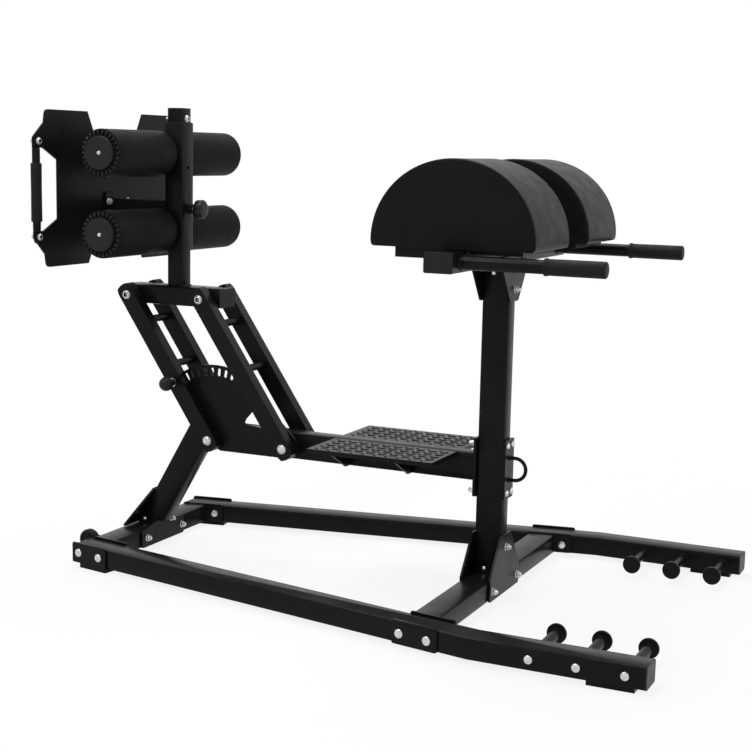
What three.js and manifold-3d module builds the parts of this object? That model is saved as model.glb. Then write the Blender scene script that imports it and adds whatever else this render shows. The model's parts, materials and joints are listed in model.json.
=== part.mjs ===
// Glute ham developer: a floor-standing bench with split hip pads and a foot unit on a parallel linkage.
// Millimetres, +Z up. +X points from the foot plate towards the pads, and the near side is -Y.
// Places along X are measured from the middle of the pad post until the last line centres the machine.
import * as THREE from "three";
import { mergeVertices } from "three/addons/utils/BufferGeometryUtils.js";
import Module from "manifold-3d";

const wasm = await Module();
wasm.setup();

// Fits
const seatGap = 0.3; // between pieces that are bolted or pushed face to face
const runGap = 0.5; // between pieces that turn or slide on each other
const weldBite = 1; // how far a welded piece reaches into the one that carries it
const overrun = 5; // how far a cutting tool passes its piece

// Facets
const cornerSteps = 2;
const boltSegments = 12;
const roundSegments = 18;
const rollerSegments = 26;
const curveFacets = 6; // of each arc in an outline
const wireFacets = 5; // half of the facets round a bent rod
const sameSpot = 0.0001; // corners closer than this are one corner
const quarterTurn = 90; // degrees

// Tube and plate stock
const tubeWide = 75;
const tubeTall = 50;
const tubeWall = 3;
const tubeRound = 5;
const plateThick = 6;
const plateRound = 6;
const ventRadius = 5;

// Rails and their feet
const footTall = 10.5;
const baseTubeTall = 54.5; // rails and crossmembers
const railFrontX = 576;
const railBendX = 152;
const railRearX = -1131;
const railFrontHalfSpan = 551; // outer face of a rail, in front of the bend
const railRearMiddleY = 281; // middle of a rail, at its rear end
const railEndInset = 2;
const capFlange = 3;
const capPlug = 16;
const frontFootX = 495;
const frontFootLong = 113;
const footInset = 4;

// Crossmembers and the plates that bolt them to the rails
const footCrossX = -1089.5;
const jointPlateLong = 130;
const jointPlateRise = 5; // above the top of the rail
const innerPlateDrop = 2; // short of the underside of the rail
const outerPlateDrop = 1; // below the underside of the rail
const footPlateShift = 21; // along X, from the middle of the crossmember
const padPlateShift = 15;
const saddleLong = 100;

// Transport wheels behind the foot crossmember
const wheelRadius = 30;
const wheelWide = 24;
const wheelY = 212;
const wheelFloorGap = 18;
const wheelSetBack = 34; // axle behind the crossmember's rear face
const wheelEdge = 4;
const forkThick = 5;
const forkRound = 13;
const forkFootHalf = 20;
const wheelPinRadius = 6;
const wheelSideGap = 1.5;

// Band pegs on the inner faces of the rails
const pegFirstX = 302;
const pegPitch = 113.5;
const pegCount = 3;
const pegLong = 141;
const pegRadius = 12.5;
const pegCapRadius = 25;
const pegCapThick = 10;
const pegEdge = 2.5;
const pegCollarRadius = 17;
const pegCollarLong = 6;

// Main beam: rear strut and spine in one mitred tube
const spineMidZ = 351.5;
const beamElbowX = -912.5;
const strutAngle = THREE.MathUtils.degToRad(60);
const flangeThick = 8;
const flangeTall = 161;
const flangeHalfWide = 33;
const strutGussetHalf = 95;
const strutGussetTopHalf = 28;
const strutGussetLong = 122;
const toeGussetHalf = 112;
const toeGussetTopHalf = 42;
const toeGussetShoulderZ = 62;
const toeGussetTopZ = 76;

// Parallel linkage
const rearPivotX = -841;
const pivotSpacing = 243;
const linkLong = 488;
const linkAngle = THREE.MathUtils.degToRad(124.1);
const linkWide = 48;
const linkThick = 36;
const linkEndReach = 32; // from a pivot to the end of the bar
const linkEndRound = 17;
const linkInnerY = 52; // inner face of the bars
const tieRadius = 11;
const rearTieRise = 250; // lower cross tie of the rear pair, from the low pivot
const rearTieDrop = 88; // its upper cross tie, from the high pivot
const frontTieRise = 254;
const frontTieDrop = 85;
const pivotTubeRadius = 17;
const pivotTubeGap = 1; // between a pivot tube and the bars
const pivotPinRadius = 8;
const pivotHeadRadius = 14;
const pivotHeadThick = 6;
const pivotHeadEdge = 3;

// Quadrant plate with its row of slots, on the near side
const slotCount = 9;
const slotPitchAngle = THREE.MathUtils.degToRad(6.45);
const slotMidRadius = 195;
const slotLong = 23;
const slotWide = 10.6;
const slotRound = 4.5;
const quadrantRadius = 215;
const quadrantOverAngle = THREE.MathUtils.degToRad(5.2); // past the first slot
const quadrantEndAngle = THREE.MathUtils.degToRad(66.5);
const quadrantRunGap = 2; // between the plate and the link bars
const quadrantBossRadius = 33.5;
const quadrantHeelRadius = 20;
const quadrantHeelReach = 21; // the lower rear corner, in front of the rear pivot
const windowRound = 9;
const windowShares = [
  [0.383, 0.22],
  [0.601, 0.467],
  [0.765, 0.179],
];

// Link plunger
const plungerPinRadius = 4.8;
const plungerCollarRadius = 12;
const plungerCollarLong = 12;
const plungerStemRadius = 7;
const plungerKnobRadius = 19;
const plungerKnobReach = 44; // middle of the knob, out from the face of the bar
const knobSteps = 7;

// Carriage and roller post
const carriageWide = 86;
const carriageTall = 54;
const carriageFrontOverhang = 44;
const carriageRearOverhang = 37;
const carriageWall = 4;
const rollerPostX = -991;
const rollerPostSize = 50;
const rollerPostTall = 509.4; // with its cap, above the carriage
const postCapThick = 5;
const pinHolePitch = 25;
const pinHoleCount = 4;
const pinHoleRadius = 5.5;
const topHoleDrop = 27;

// Sleeve, axles, arm and pop pin
const sleeveWall = 4.6;
const sleeveClear = 0.4;
const sleeveLong = 362;
const sleeveTopDrop = 40; // below the top of the post
const sleeveChamfer = 8;
const sleeveChamferDepth = 3;
const armRise = 114; // above the foot of the sleeve
const armSize = 50;
const armFlangeHalf = 62;
const armFlangeHalfTall = 44;
const popPinRise = 116;
const popBossRadius = 14;
const popBossLong = 16;
const popPinRadius = 5;
const popNeckLong = 3;
const popKnobRadius = 25;
const popKnobLong = 28;
const popKnobEdge = 7;
const spareHoleRise = 233;

// Rollers
const rollerTopInset = 90; // upper rollers, below the top of the sleeve
const rollerLowInset = 52; // lower rollers, above its foot
const rollerRadius = 65;
const rollerEndY = 326;
const rollerSideGap = 3; // between a roller and the sleeve
const rollerBevel = 8;
const rollerAxleRadius = 16;
const rollerCapThick = 12;
const capHubRadius = 46;
const capHubRise = 4;
const capHubEdge = 3;
const capGrooveRadius = 60;
const capGrooveDeep = 6;
const capRibCount = 18;
const capRibThick = 5;
const capRibDrop = 1; // ribs lie this far below the rim

// Foot plate
const footPlateX = -1212; // middle of its thickness
const footPlateTall = 432;
const footPlateDrop = 45; // below the foot of the sleeve
const wingHalf = 331;
const wingRound = 14;
const shoulderHalf = 337;
const shoulderDrop = 36;
const earHalf = 385;
const earTopInset = 71; // from the top of the plate
const earLowInset = 76; // from its foot
const earEdge = 6;
const handGapTopInset = 105;
const handGapLowInset = 101;
const handGapOuterY = 343;
const handGapInnerY = 280;
const handGapSlope = 32;
const notchHalfTop = 138;
const notchHalfFoot = 78;
const notchDeep = 117;

// Handles on the ears of the foot plate
const footHandleY = 363;
const footHandleRadius = 11;
const tongueThick = 5;
const tongueLong = 40;
const tongueLap = 34; // how much of a tongue lies on its ear
const footGripRadius = 16;
const footGripLowInset = 25; // from the hand gap's lower end
const footGripTopInset = 41; // from its upper end
const gripEdge = 3;

// Pad post and its plates
const lowGussetHalf = 112;
const lowGussetTopHalf = 36;
const lowGussetLowZ = 10;
const lowGussetShoulderZ = 70;
const lowGussetTopZ = 174;
const highGussetHalf = 92;
const highGussetFootHalf = 31;
const highGussetFootZ = 800;
const highGussetShoulderZ = 884;
const highGussetTopZ = 921;

// Lift handle on the plate in front of the pad post
const liftRodRadius = 5;
const liftHalfTall = 30;
const liftStraight = 17;
const liftSteps = 26;

// Step plates beside the spine
const treadRearX = -462;
const treadLong = 365;
const treadInnerY = 27;
const treadOuterY = 197;
const treadTopZ = 388;
const treadThick = 4;
const treadSkirt = 12;
const treadGussetSets = [50, 238]; // from the rear edge of the tread
const treadGussetThick = 5;
const treadGussetReach = 165;
const treadGussetFoot = 60;
const treadGussetLowZ = 318;
const treadGussetEdge = 10;

// Pad carrier
const padTubeZ = 923.5;
const padTubeHalf = 424;
const trayThick = 3;
const trayRearX = -157;
const trayFrontX = 176;
const trayInnerY = 88;
const trayOuterY = 325;
const trayRearSkirt = 23;
const trayFrontSkirt = 8;
const trayTubeGap = 2;
const handleBarY = 369;
const handleBarRadius = 17;
const handleBarWall = 2.5;
const handleBarEndX = 392;
const handleGripStartX = 246;
const handleGripRadius = 20;
const handleGripFlare = 1.5;
const handleGripFlareLong = 8;
const handleGripEnd = 4;

// Hip pads
const padRadius = 213;
const padArcLift = 7; // middle of the round top above the pad's base
const padTuck = 7; // how far the lower edge draws in
const padInnerY = 75;
const padOuterY = 351;
const padEdgeRound = 8;
const padCrown = 4;
const padFaceSwell = 6;
const padArcSteps = 22;
const padBaseSteps = 4;
const padEdgeSteps = 4;
const padWidthSteps = 3;
const padFaceShares = [0.86, 0.62, 0.32]; // rings on an end face, as shares of its outline
const padFaceMidShare = 0.42; // height of an end face's middle, as a share of the pad's height

// Places that follow from the sizes above
const railLowZ = footTall;
const railTopZ = railLowZ + baseTubeTall;
const railMidZ = railLowZ + baseTubeTall / 2;
const railFrontMiddleY = railFrontHalfSpan - tubeWide / 2;
const railSlope = (railFrontMiddleY - railRearMiddleY) / (railBendX - railRearX);
const railTurn = Math.atan(railSlope);
const railMiddleY = (x) => railFrontMiddleY - Math.max(railBendX - x, 0) * railSlope;
const crossEndY = (x) => railMiddleY(x) - (tubeWide / 2 + seatGap + plateThick / 2) / Math.cos(railTurn);
const postHalfX = tubeWide / 2;
const postHalfY = tubeTall / 2;
const footCrossFrontX = footCrossX + tubeWide / 2;
const footCrossRearX = footCrossX - tubeWide / 2;
const frontPivotX = rearPivotX + pivotSpacing;
const linkRun = linkLong * Math.cos(linkAngle);
const linkRise = linkLong * Math.sin(linkAngle);
const pivotHighZ = spineMidZ + linkRise;
const linkOuterY = linkInnerY + linkThick;
const quadrantOuterY = linkInnerY - quadrantRunGap;
const quadrantInnerY = quadrantOuterY - plateThick;
const carriageTopZ = pivotHighZ + carriageTall / 2;
const rollerPostTopZ = carriageTopZ + rollerPostTall;
const sleeveTopZ = rollerPostTopZ - sleeveTopDrop;
const sleeveLowZ = sleeveTopZ - sleeveLong;
const armZ = sleeveLowZ + armRise;
const popPinZ = sleeveLowZ + popPinRise;
const rollerZs = { high: sleeveTopZ - rollerTopInset, low: sleeveLowZ + rollerLowInset };
const footPlateLowZ = sleeveLowZ - footPlateDrop;
const footPlateTopZ = footPlateLowZ + footPlateTall;
const handGapLowZ = footPlateLowZ + handGapLowInset;
const handGapTopZ = footPlateTopZ - handGapTopInset;
const sleeveSize = rollerPostSize + 2 * (sleeveClear + sleeveWall);
const sleeveFrontX = rollerPostX + sleeveSize / 2;
const sleeveRearX = rollerPostX - sleeveSize / 2;
const rollerX = sleeveRearX - rollerAxleRadius + weldBite;
const footHandleX = footPlateX - plateThick / 2 - seatGap - tongueThick / 2;
const padTubeTopZ = padTubeZ + tubeTall / 2;
const trayTopZ = padTubeTopZ + seatGap + trayThick;
const padBaseZ = trayTopZ + seatGap;
const rearEndX = footHandleX - footGripRadius;
const frontEndX = railFrontX + seatGap + capFlange;

// Finishes
const finish = (name, color, roughness, metalness) =>
  Object.assign(new THREE.MeshStandardMaterial({ color, roughness, metalness }), { name });
const powderCoat = finish("powder_coat", 0x1a1b1d, 0.55, 0.3);
const vinyl = finish("black_vinyl", 0x18191b, 0.6, 0);
const foam = finish("black_foam", 0x222325, 0.75, 0);
const plastic = finish("black_plastic", 0x242527, 0.5, 0);
const rubber = finish("black_rubber", 0x1c1c1e, 0.8, 0);
const greyPlastic = finish("grey_plastic", 0x77787a, 0.6, 0);
const zinc = finish("zinc", 0xc4c6c9, 0.35, 0.9);

// Drawing planes: a drawing's x and y become two world axes, and its depth the third
const ex = new THREE.Vector3(1, 0, 0);
const ey = new THREE.Vector3(0, 1, 0);
const ez = new THREE.Vector3(0, 0, 1);
const planeXY = new THREE.Matrix4();
const planeXZ = new THREE.Matrix4().makeBasis(ex, ez, ey.clone().negate()); // depth towards -Y
const planeYZ = new THREE.Matrix4().makeBasis(ey, ez, ex); // depth towards +X

// A closed geometry as a solid. One that was drawn the other way round is turned right side out.
function solid(geometry) {
  const bare = new THREE.BufferGeometry();
  bare.setAttribute("position", geometry.getAttribute("position"));
  if (geometry.index) bare.setIndex(geometry.index);
  const merged = mergeVertices(bare, sameSpot);
  const places = merged.getAttribute("position");
  const corners = Array.from(merged.index.array);
  const [a, b, c] = [new THREE.Vector3(), new THREE.Vector3(), new THREE.Vector3()];
  const kept = [];
  let volume = 0;
  for (let i = 0; i < corners.length; i += 3) {
    const [p, q, r] = corners.slice(i, i + 3);
    if (p === q || q === r || r === p) continue;
    a.fromBufferAttribute(places, p);
    b.fromBufferAttribute(places, q);
    c.fromBufferAttribute(places, r);
    volume += a.dot(b.cross(c));
    kept.push(p, q, r);
  }
  if (volume < 0) kept.reverse();
  const vertProperties = new Float32Array(places.array);
  return new wasm.Manifold(new wasm.Mesh({ numProp: 3, vertProperties, triVerts: new Uint32Array(kept) }));
}

function toGeometry(body) {
  const { vertProperties, triVerts } = body.getMesh();
  const geometry = new THREE.BufferGeometry();
  geometry.setAttribute("position", new THREE.BufferAttribute(new Float32Array(vertProperties), 3));
  geometry.setIndex(new THREE.BufferAttribute(new Uint32Array(triVerts), 1));
  geometry.computeVertexNormals();
  return geometry;
}

const join = (first, ...rest) => rest.reduce((whole, next) => whole.add(next), first);
const cut = (first, ...tools) => tools.reduce((whole, tool) => whole.subtract(tool), first);

function place(name, body, material, group) {
  const mesh = new THREE.Mesh(toGeometry(body), material);
  mesh.name = name;
  group.add(mesh);
}

// Pieces that come in pairs are drawn for the far side and mirrored to the near side
const forSide = (body, side) => (side === "far" ? body : body.mirror([0, 1, 0]));
function placePair(name, body, material, group) {
  for (const side of ["near", "far"]) place(`${name}_${side}`, forSide(body, side), material, group);
}

// An outline through [x, y] points, each with an optional corner radius
function outline(points) {
  const path = new THREE.Shape();
  points.forEach(([x, y, radius = 0], i) => {
    const corner = new THREE.Vector2(x, y);
    const back = new THREE.Vector2(...points.at(i - 1)).sub(corner).normalize();
    const on = new THREE.Vector2(...points[(i + 1) % points.length]).sub(corner).normalize();
    const trim = radius / Math.tan(back.angleTo(on) / 2);
    const enter = corner.clone().addScaledVector(back, trim);
    const leave = corner.clone().addScaledVector(on, trim);
    if (i === 0) path.moveTo(enter.x, enter.y);
    else path.lineTo(enter.x, enter.y);
    if (radius > 0) {
      const bend = new THREE.QuadraticBezierCurve(enter, corner, leave);
      bend.getPoints(cornerSteps).slice(1).forEach((p) => path.lineTo(p.x, p.y));
    }
  });
  return path;
}

// An outline that is the same on both sides of its upright middle line
function evenOutline(half) {
  const mirrored = half.map(([x, y, radius]) => [-x, y, radius]).reverse();
  return outline([...half, ...mirrored]);
}

function slab(shape, from, to, plane) {
  const how = { depth: to - from, bevelEnabled: false, curveSegments: curveFacets };
  const geometry = new THREE.ExtrudeGeometry(shape, how);
  return solid(geometry.translate(0, 0, from).applyMatrix4(plane));
}
const plateXZ = (shape, yLow, yHigh) => slab(shape, -yHigh, -yLow, planeXZ);
const plateYZ = (shape, xLow, xHigh) => slab(shape, xLow, xHigh, planeYZ);

function block(xLow, xHigh, yLow, yHigh, zLow, zHigh) {
  const geometry = new THREE.BoxGeometry(xHigh - xLow, yHigh - yLow, zHigh - zLow);
  return solid(geometry.translate((xLow + xHigh) / 2, (yLow + yHigh) / 2, (zLow + zHigh) / 2));
}

const sheet = (long, tall, round) =>
  outline([
    [-long / 2, -tall / 2, round],
    [long / 2, -tall / 2, round],
    [long / 2, tall / 2, round],
    [-long / 2, tall / 2, round],
  ]);

// Turned bodies: a profile of [radius, place along the axis] points, about Y or X
function turnedY(profile, segments = roundSegments) {
  const points = profile.map(([radius, along]) => new THREE.Vector2(radius, along));
  return solid(new THREE.LatheGeometry(points, segments));
}
const turnedX = (profile, segments) => turnedY(profile, segments).rotate([0, 0, -quarterTurn]);
const barProfile = (radius, from, to) => [
  [0, from],
  [radius, from],
  [radius, to],
  [0, to],
];
const rodY = (radius, from, to, x, z, segments) =>
  turnedY(barProfile(radius, from, to), segments).translate([x, 0, z]);
const rodX = (radius, from, to, z, segments) =>
  turnedX(barProfile(radius, from, to), segments).translate([0, 0, z]);

// The loop of a rounded box section
function boxLoop(across, tall, round) {
  const corners = [
    [1, 1],
    [-1, 1],
    [-1, -1],
    [1, -1],
  ];
  return corners.flatMap(([sx, sy], quarter) =>
    Array.from({ length: cornerSteps + 1 }, (_, k) => {
      const angle = ((quarter + k / cornerSteps) * Math.PI) / 2;
      return [
        sx * (across / 2 - round) + round * Math.cos(angle),
        sy * (tall / 2 - round) + round * Math.sin(angle),
      ];
    }),
  );
}

// A box-section tube along a flat path. Each station has a place and the direction of its end or mitre cut.
// "across" lies in the drawing and "tall" is square to it.
function boxTube(stations, across, tall, wall, round, plane) {
  const innerRound = Math.max(round - wall, wall / 2);
  const loops = [
    boxLoop(across, tall, round),
    boxLoop(across - 2 * wall, tall - 2 * wall, innerRound),
  ];
  const positions = [];
  const indices = [];
  const firsts = loops.map((loop) => {
    const first = positions.length / 3;
    stations.forEach(({ at, along }, i) => {
      const from = new THREE.Vector2(...stations[Math.max(i - 1, 0)].at);
      const run = new THREE.Vector2(...stations[Math.max(i, 1)].at).sub(from).normalize();
      const direction = new THREE.Vector2(...along).normalize();
      const stretch = 1 / (direction.y * run.x - direction.x * run.y);
      loop.forEach(([u, v]) => {
        positions.push(at[0] + direction.x * u * stretch, at[1] + direction.y * u * stretch, v);
      });
    });
    return first;
  });
  const count = loops[0].length;
  const quad = (a, b, c, d) => indices.push(a, b, c, a, c, d);
  for (let k = 0; k < count; k += 1) {
    const next = (k + 1) % count;
    const last = (stations.length - 1) * count;
    const [outer, inner] = firsts;
    quad(outer + next, outer + k, inner + k, inner + next);
    quad(outer + last + k, outer + last + next, inner + last + next, inner + last + k);
    for (let i = 0; i < last; i += count) {
      quad(outer + i + k, outer + i + next, outer + i + count + next, outer + i + count + k);
      quad(inner + i + next, inner + i + k, inner + i + count + k, inner + i + count + next);
    }
  }
  const geometry = new THREE.BufferGeometry();
  geometry.setAttribute("position", new THREE.Float32BufferAttribute(positions, 3));
  geometry.setIndex(indices);
  return solid(geometry.applyMatrix4(plane));
}

// Straight box-section tubes along an axis
const straight = (from, to, along) => [from, to].map((at) => ({ at, along }));
function tubeAlongX(from, to, z, wide, tall, wall) {
  const stations = straight([from, 0], [to, 0], [0, 1]);
  return boxTube(stations, wide, tall, wall, tubeRound, planeXY).translate([0, 0, z]);
}
function lyingTube(stations, tall, z) {
  return boxTube(stations, tubeWide, tall, tubeWall, tubeRound, planeXY).translate([0, 0, z]);
}
function tubeAlongZ(x, from, to, wideX, wideY, wall) {
  const stations = straight([x, from], [x, to], [-1, 0]);
  return boxTube(stations, wideX, wideY, wall, tubeRound, planeXZ);
}

// A plate beside the far rail, drawn with the rail's middle line along X and its outside towards +Y
const besideRail = (body, x) =>
  body.rotate([0, 0, THREE.MathUtils.radToDeg(railTurn)]).translate([x, railMiddleY(x), 0]);

// A plug with a flange, for the open end of a box tube whose mouth faces +X at the origin
function endPlug(across, tall, wall) {
  const flange = plateYZ(sheet(across, tall, tubeRound), seatGap, seatGap + capFlange);
  const inset = 2 * (wall + seatGap);
  const plug = plateYZ(sheet(across - inset, tall - inset, wall / 2), -capPlug, seatGap + weldBite);
  return join(flange, plug);
}

// Base: rails, crossmembers, joint plates and feet
function rail() {
  const mitre = railTurn / 2;
  const stations = [
    { at: [railRearX, railMiddleY(railRearX)], along: [0, 1] },
    { at: [railBendX, railFrontMiddleY], along: [-Math.sin(mitre), Math.cos(mitre)] },
    { at: [railFrontX, railFrontMiddleY], along: [0, 1] },
  ];
  const tube = lyingTube(stations, baseTubeTall, railMidZ);
  const rearY = railMiddleY(railRearX);
  const endHalf = tubeWide / 2 - railEndInset;
  const endPlate = block(
    railRearX,
    railRearX + tubeWall,
    rearY - endHalf,
    rearY + endHalf,
    railLowZ + railEndInset,
    railTopZ - railEndInset,
  );
  const foot = block(
    frontFootX - frontFootLong / 2,
    frontFootX + frontFootLong / 2,
    railFrontHalfSpan - tubeWide + footInset,
    railFrontHalfSpan - footInset,
    0,
    railLowZ + weldBite,
  );
  return join(tube, endPlate, foot);
}

function railCap() {
  return endPlug(tubeWide, baseTubeTall, tubeWall).translate([railFrontX, railFrontMiddleY, railMidZ]);
}

// The plate welded to each end of a crossmember, against the inner face of the far rail
function innerPlate(x) {
  const face = -tubeWide / 2 - seatGap;
  const tall = baseTubeTall + jointPlateRise - innerPlateDrop;
  const plate = plateXZ(sheet(jointPlateLong, tall, plateRound), face - plateThick, face);
  return besideRail(plate.translate([0, 0, railTopZ + jointPlateRise - tall / 2]), x);
}

function crossmember(x, plateX) {
  const direction = [Math.cos(railTurn), Math.sin(railTurn)];
  const stations = [
    { at: [x, -crossEndY(x)], along: [-direction[0], direction[1]] },
    { at: [x, crossEndY(x)], along: [-direction[0], -direction[1]] },
  ];
  const tube = lyingTube(stations, baseTubeTall, railMidZ);
  const vent = turnedY(barProfile(ventRadius, -overrun, tubeWall + overrun), boltSegments);
  const plate = innerPlate(plateX);
  const whole = join(tube, plate, forSide(plate, "near"));
  return cut(whole, vent.rotate([quarterTurn, 0, 0]).translate([x, 0, railLowZ]));
}

// The plate on the outer face of a rail at its pad end
function padJointPlate() {
  const face = tubeWide / 2 + seatGap;
  const tall = baseTubeTall + jointPlateRise + outerPlateDrop;
  const plate = plateXZ(sheet(jointPlateLong, tall, plateRound), face, face + plateThick);
  return besideRail(plate.translate([0, 0, railTopZ + jointPlateRise - tall / 2]), padPlateShift);
}

// At the foot end the plate runs down to the floor and carries the rail on a foot
function footJointPlate() {
  const face = tubeWide / 2 + seatGap;
  const half = jointPlateLong / 2;
  const top = railTopZ + jointPlateRise;
  const low = railLowZ + innerPlateDrop;
  const shape = outline([
    [-half, low, plateRound],
    [half - saddleLong, low],
    [half - saddleLong, 0],
    [half, 0],
    [half, top, plateRound],
    [-half, top, plateRound],
  ]);
  const plate = plateXZ(shape, face, face + plateThick);
  const footInnerY = footInset - tubeWide / 2;
  const foot = block(half - saddleLong, half, footInnerY, face + weldBite, 0, railLowZ - seatGap);
  return besideRail(join(plate, foot), footCrossX + footPlateShift);
}

// Two fork plates and a pin behind the foot crossmember, for the far wheel
const wheelAxleX = footCrossRearX - wheelSetBack;
const wheelAxleZ = wheelFloorGap + wheelRadius;
function wheelFork() {
  const inner = wheelWide / 2 + wheelSideGap;
  const shape = new THREE.Shape();
  shape.moveTo(footCrossRearX + weldBite, railMidZ - forkFootHalf);
  shape.lineTo(footCrossRearX + weldBite, railMidZ + forkFootHalf);
  shape.absarc(wheelAxleX, wheelAxleZ, forkRound, Math.PI / 2, -Math.PI / 2, false);
  const ear = plateXZ(shape, inner, inner + forkThick);
  const pin = rodY(wheelPinRadius, -inner - weldBite, inner + weldBite, wheelAxleX, wheelAxleZ);
  return join(ear, forSide(ear, "near"), pin).translate([0, wheelY, 0]);
}

function wheel() {
  const half = wheelWide / 2;
  const bore = wheelPinRadius + runGap;
  const profile = [
    [bore, -half],
    [wheelRadius - wheelEdge, -half],
    [wheelRadius, wheelEdge - half],
    [wheelRadius, half - wheelEdge],
    [wheelRadius - wheelEdge, half],
    [bore, half],
    [bore, -half],
  ];
  return turnedY(profile).translate([wheelAxleX, wheelY, wheelAxleZ]);
}

// A low plate on the front of the foot crossmember that closes the toe of the strut
function toeGusset() {
  const shape = evenOutline([
    [toeGussetHalf, railLowZ, plateRound],
    [toeGussetHalf, toeGussetShoulderZ],
    [toeGussetTopHalf, toeGussetTopZ],
  ]);
  return plateYZ(shape, footCrossFrontX - weldBite, footCrossFrontX + plateThick);
}

// Band pegs: turned posts with a flange at the free end
function bandPeg(x) {
  const root = railFrontHalfSpan - tubeWide - seatGap;
  const tip = root - pegLong;
  const profile = [
    [0, tip],
    [pegCapRadius - pegEdge, tip],
    [pegCapRadius, tip + pegEdge],
    [pegCapRadius, tip + pegCapThick],
    [pegRadius, tip + pegCapThick],
    [pegRadius, root - pegCollarLong],
    [pegCollarRadius, root - pegCollarLong],
    [pegCollarRadius, root],
    [0, root],
  ];
  return turnedY(profile).translate([x, 0, railMidZ]);
}

// Main beam: strut, spine, flange, pivot tubes, the plain plate on the far side and the strut's rear gusset
const beamFaceX = -postHalfX - seatGap - flangeThick;
const strutTopDirection = [-Math.sin(strutAngle / 2), Math.cos(strutAngle / 2)];
const strutFootX = beamElbowX - (spineMidZ - railTopZ - seatGap) / Math.tan(strutAngle);
const backingPlate = (fromX) =>
  plateYZ(sheet(2 * flangeHalfWide, flangeTall, plateRound), fromX, fromX + flangeThick);
function spineBoss(x) {
  return rodY(pivotTubeRadius, seatGap - quadrantInnerY, quadrantInnerY + weldBite, x, spineMidZ);
}
function pivotBore(x, z, clear) {
  return rodY(pivotPinRadius + clear, -linkOuterY - overrun, linkOuterY + overrun, x, z, boltSegments);
}
function farPivotPlate() {
  const shape = new THREE.Shape();
  shape.absarc(rearPivotX, spineMidZ, quadrantBossRadius, Math.PI / 2, -Math.PI / 2, false);
  shape.absarc(frontPivotX, spineMidZ, quadrantBossRadius, -Math.PI / 2, Math.PI / 2, false);
  return plateXZ(shape, quadrantInnerY, quadrantOuterY);
}
function strutGusset() {
  const shape = evenOutline([
    [strutGussetHalf, 0],
    [strutGussetTopHalf, strutGussetLong, plateRound],
  ]);
  const lean = THREE.MathUtils.radToDeg(Math.PI / 2 - strutAngle);
  const faceX = strutFootX - tubeWide / 2 / Math.sin(strutAngle);
  return plateYZ(shape, -plateThick, weldBite)
    .rotate([0, lean, 0])
    .translate([faceX, 0, railTopZ + seatGap + weldBite]);
}
function mainBeam() {
  const stations = [
    { at: [strutFootX, railTopZ + seatGap], along: [-1, 0] },
    { at: [beamElbowX, spineMidZ], along: strutTopDirection },
    { at: [beamFaceX + weldBite, spineMidZ], along: [0, 1] },
  ];
  const tube = boxTube(stations, tubeWide, tubeTall, tubeWall, tubeRound, planeXZ);
  const flange = backingPlate(beamFaceX);
  const toe = block(
    footCrossFrontX - weldBite - seatGap,
    footCrossFrontX + tubeWide,
    -tubeTall,
    tubeTall,
    railLowZ,
    toeGussetTopZ + seatGap,
  );
  const whole = join(
    tube,
    flange.translate([0, 0, spineMidZ]),
    spineBoss(rearPivotX),
    spineBoss(frontPivotX),
    farPivotPlate(),
    strutGusset(),
  );
  const bores = [rearPivotX, frontPivotX].map((x) => pivotBore(x, spineMidZ, seatGap));
  return cut(whole, toe, ...bores);
}

// Quadrant plate: a slotted arc about the rear pivot, run down to the front pivot
function quadrantPlate() {
  const shape = new THREE.Shape();
  const startAngle = linkAngle + quadrantOverAngle;
  const heelX = rearPivotX + quadrantHeelReach;
  const square = Math.PI / 2;
  shape.absarc(rearPivotX, spineMidZ, quadrantRadius, startAngle, quadrantEndAngle, true);
  shape.absarc(frontPivotX, spineMidZ, quadrantBossRadius, linkAngle - square, -square, true);
  shape.lineTo(heelX, spineMidZ - quadrantBossRadius);
  shape.absarc(rearPivotX, spineMidZ, quadrantHeelRadius, -square, linkAngle + square - 2 * Math.PI, true);
  const plate = plateXZ(shape, -quadrantOuterY, -quadrantInnerY);
  const slots = Array.from({ length: slotCount }, (_, i) => {
    const angle = THREE.MathUtils.radToDeg(linkAngle - i * slotPitchAngle);
    return plateXZ(sheet(slotLong, slotWide, slotRound), -quadrantOuterY - overrun, overrun - quadrantInnerY)
      .translate([slotMidRadius, 0, 0])
      .rotate([0, -angle, 0])
      .translate([rearPivotX, 0, spineMidZ]);
  });
  const corners = windowShares.map(([x, z]) => [
    rearPivotX + x * pivotSpacing,
    spineMidZ + z * pivotSpacing,
    windowRound,
  ]);
  const window = plateXZ(outline(corners), -quadrantOuterY - overrun, overrun - quadrantInnerY);
  const bores = [rearPivotX, frontPivotX].map((x) => pivotBore(x, spineMidZ, seatGap));
  return cut(plate, ...slots, window, ...bores);
}

// A pivot bolt with a low round head at each end
function pivotPin(x, z) {
  const neck = linkOuterY + runGap;
  const end = neck + pivotHeadThick;
  const profile = [
    [0, -end],
    [pivotHeadRadius - pivotHeadEdge, -end],
    [pivotHeadRadius, pivotHeadEdge - end],
    [pivotHeadRadius, -neck],
    [pivotPinRadius, -neck],
    [pivotPinRadius, neck],
    [pivotHeadRadius, neck],
    [pivotHeadRadius, end - pivotHeadEdge],
    [pivotHeadRadius - pivotHeadEdge, end],
    [0, end],
  ];
  return turnedY(profile).translate([x, 0, z]);
}

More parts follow.
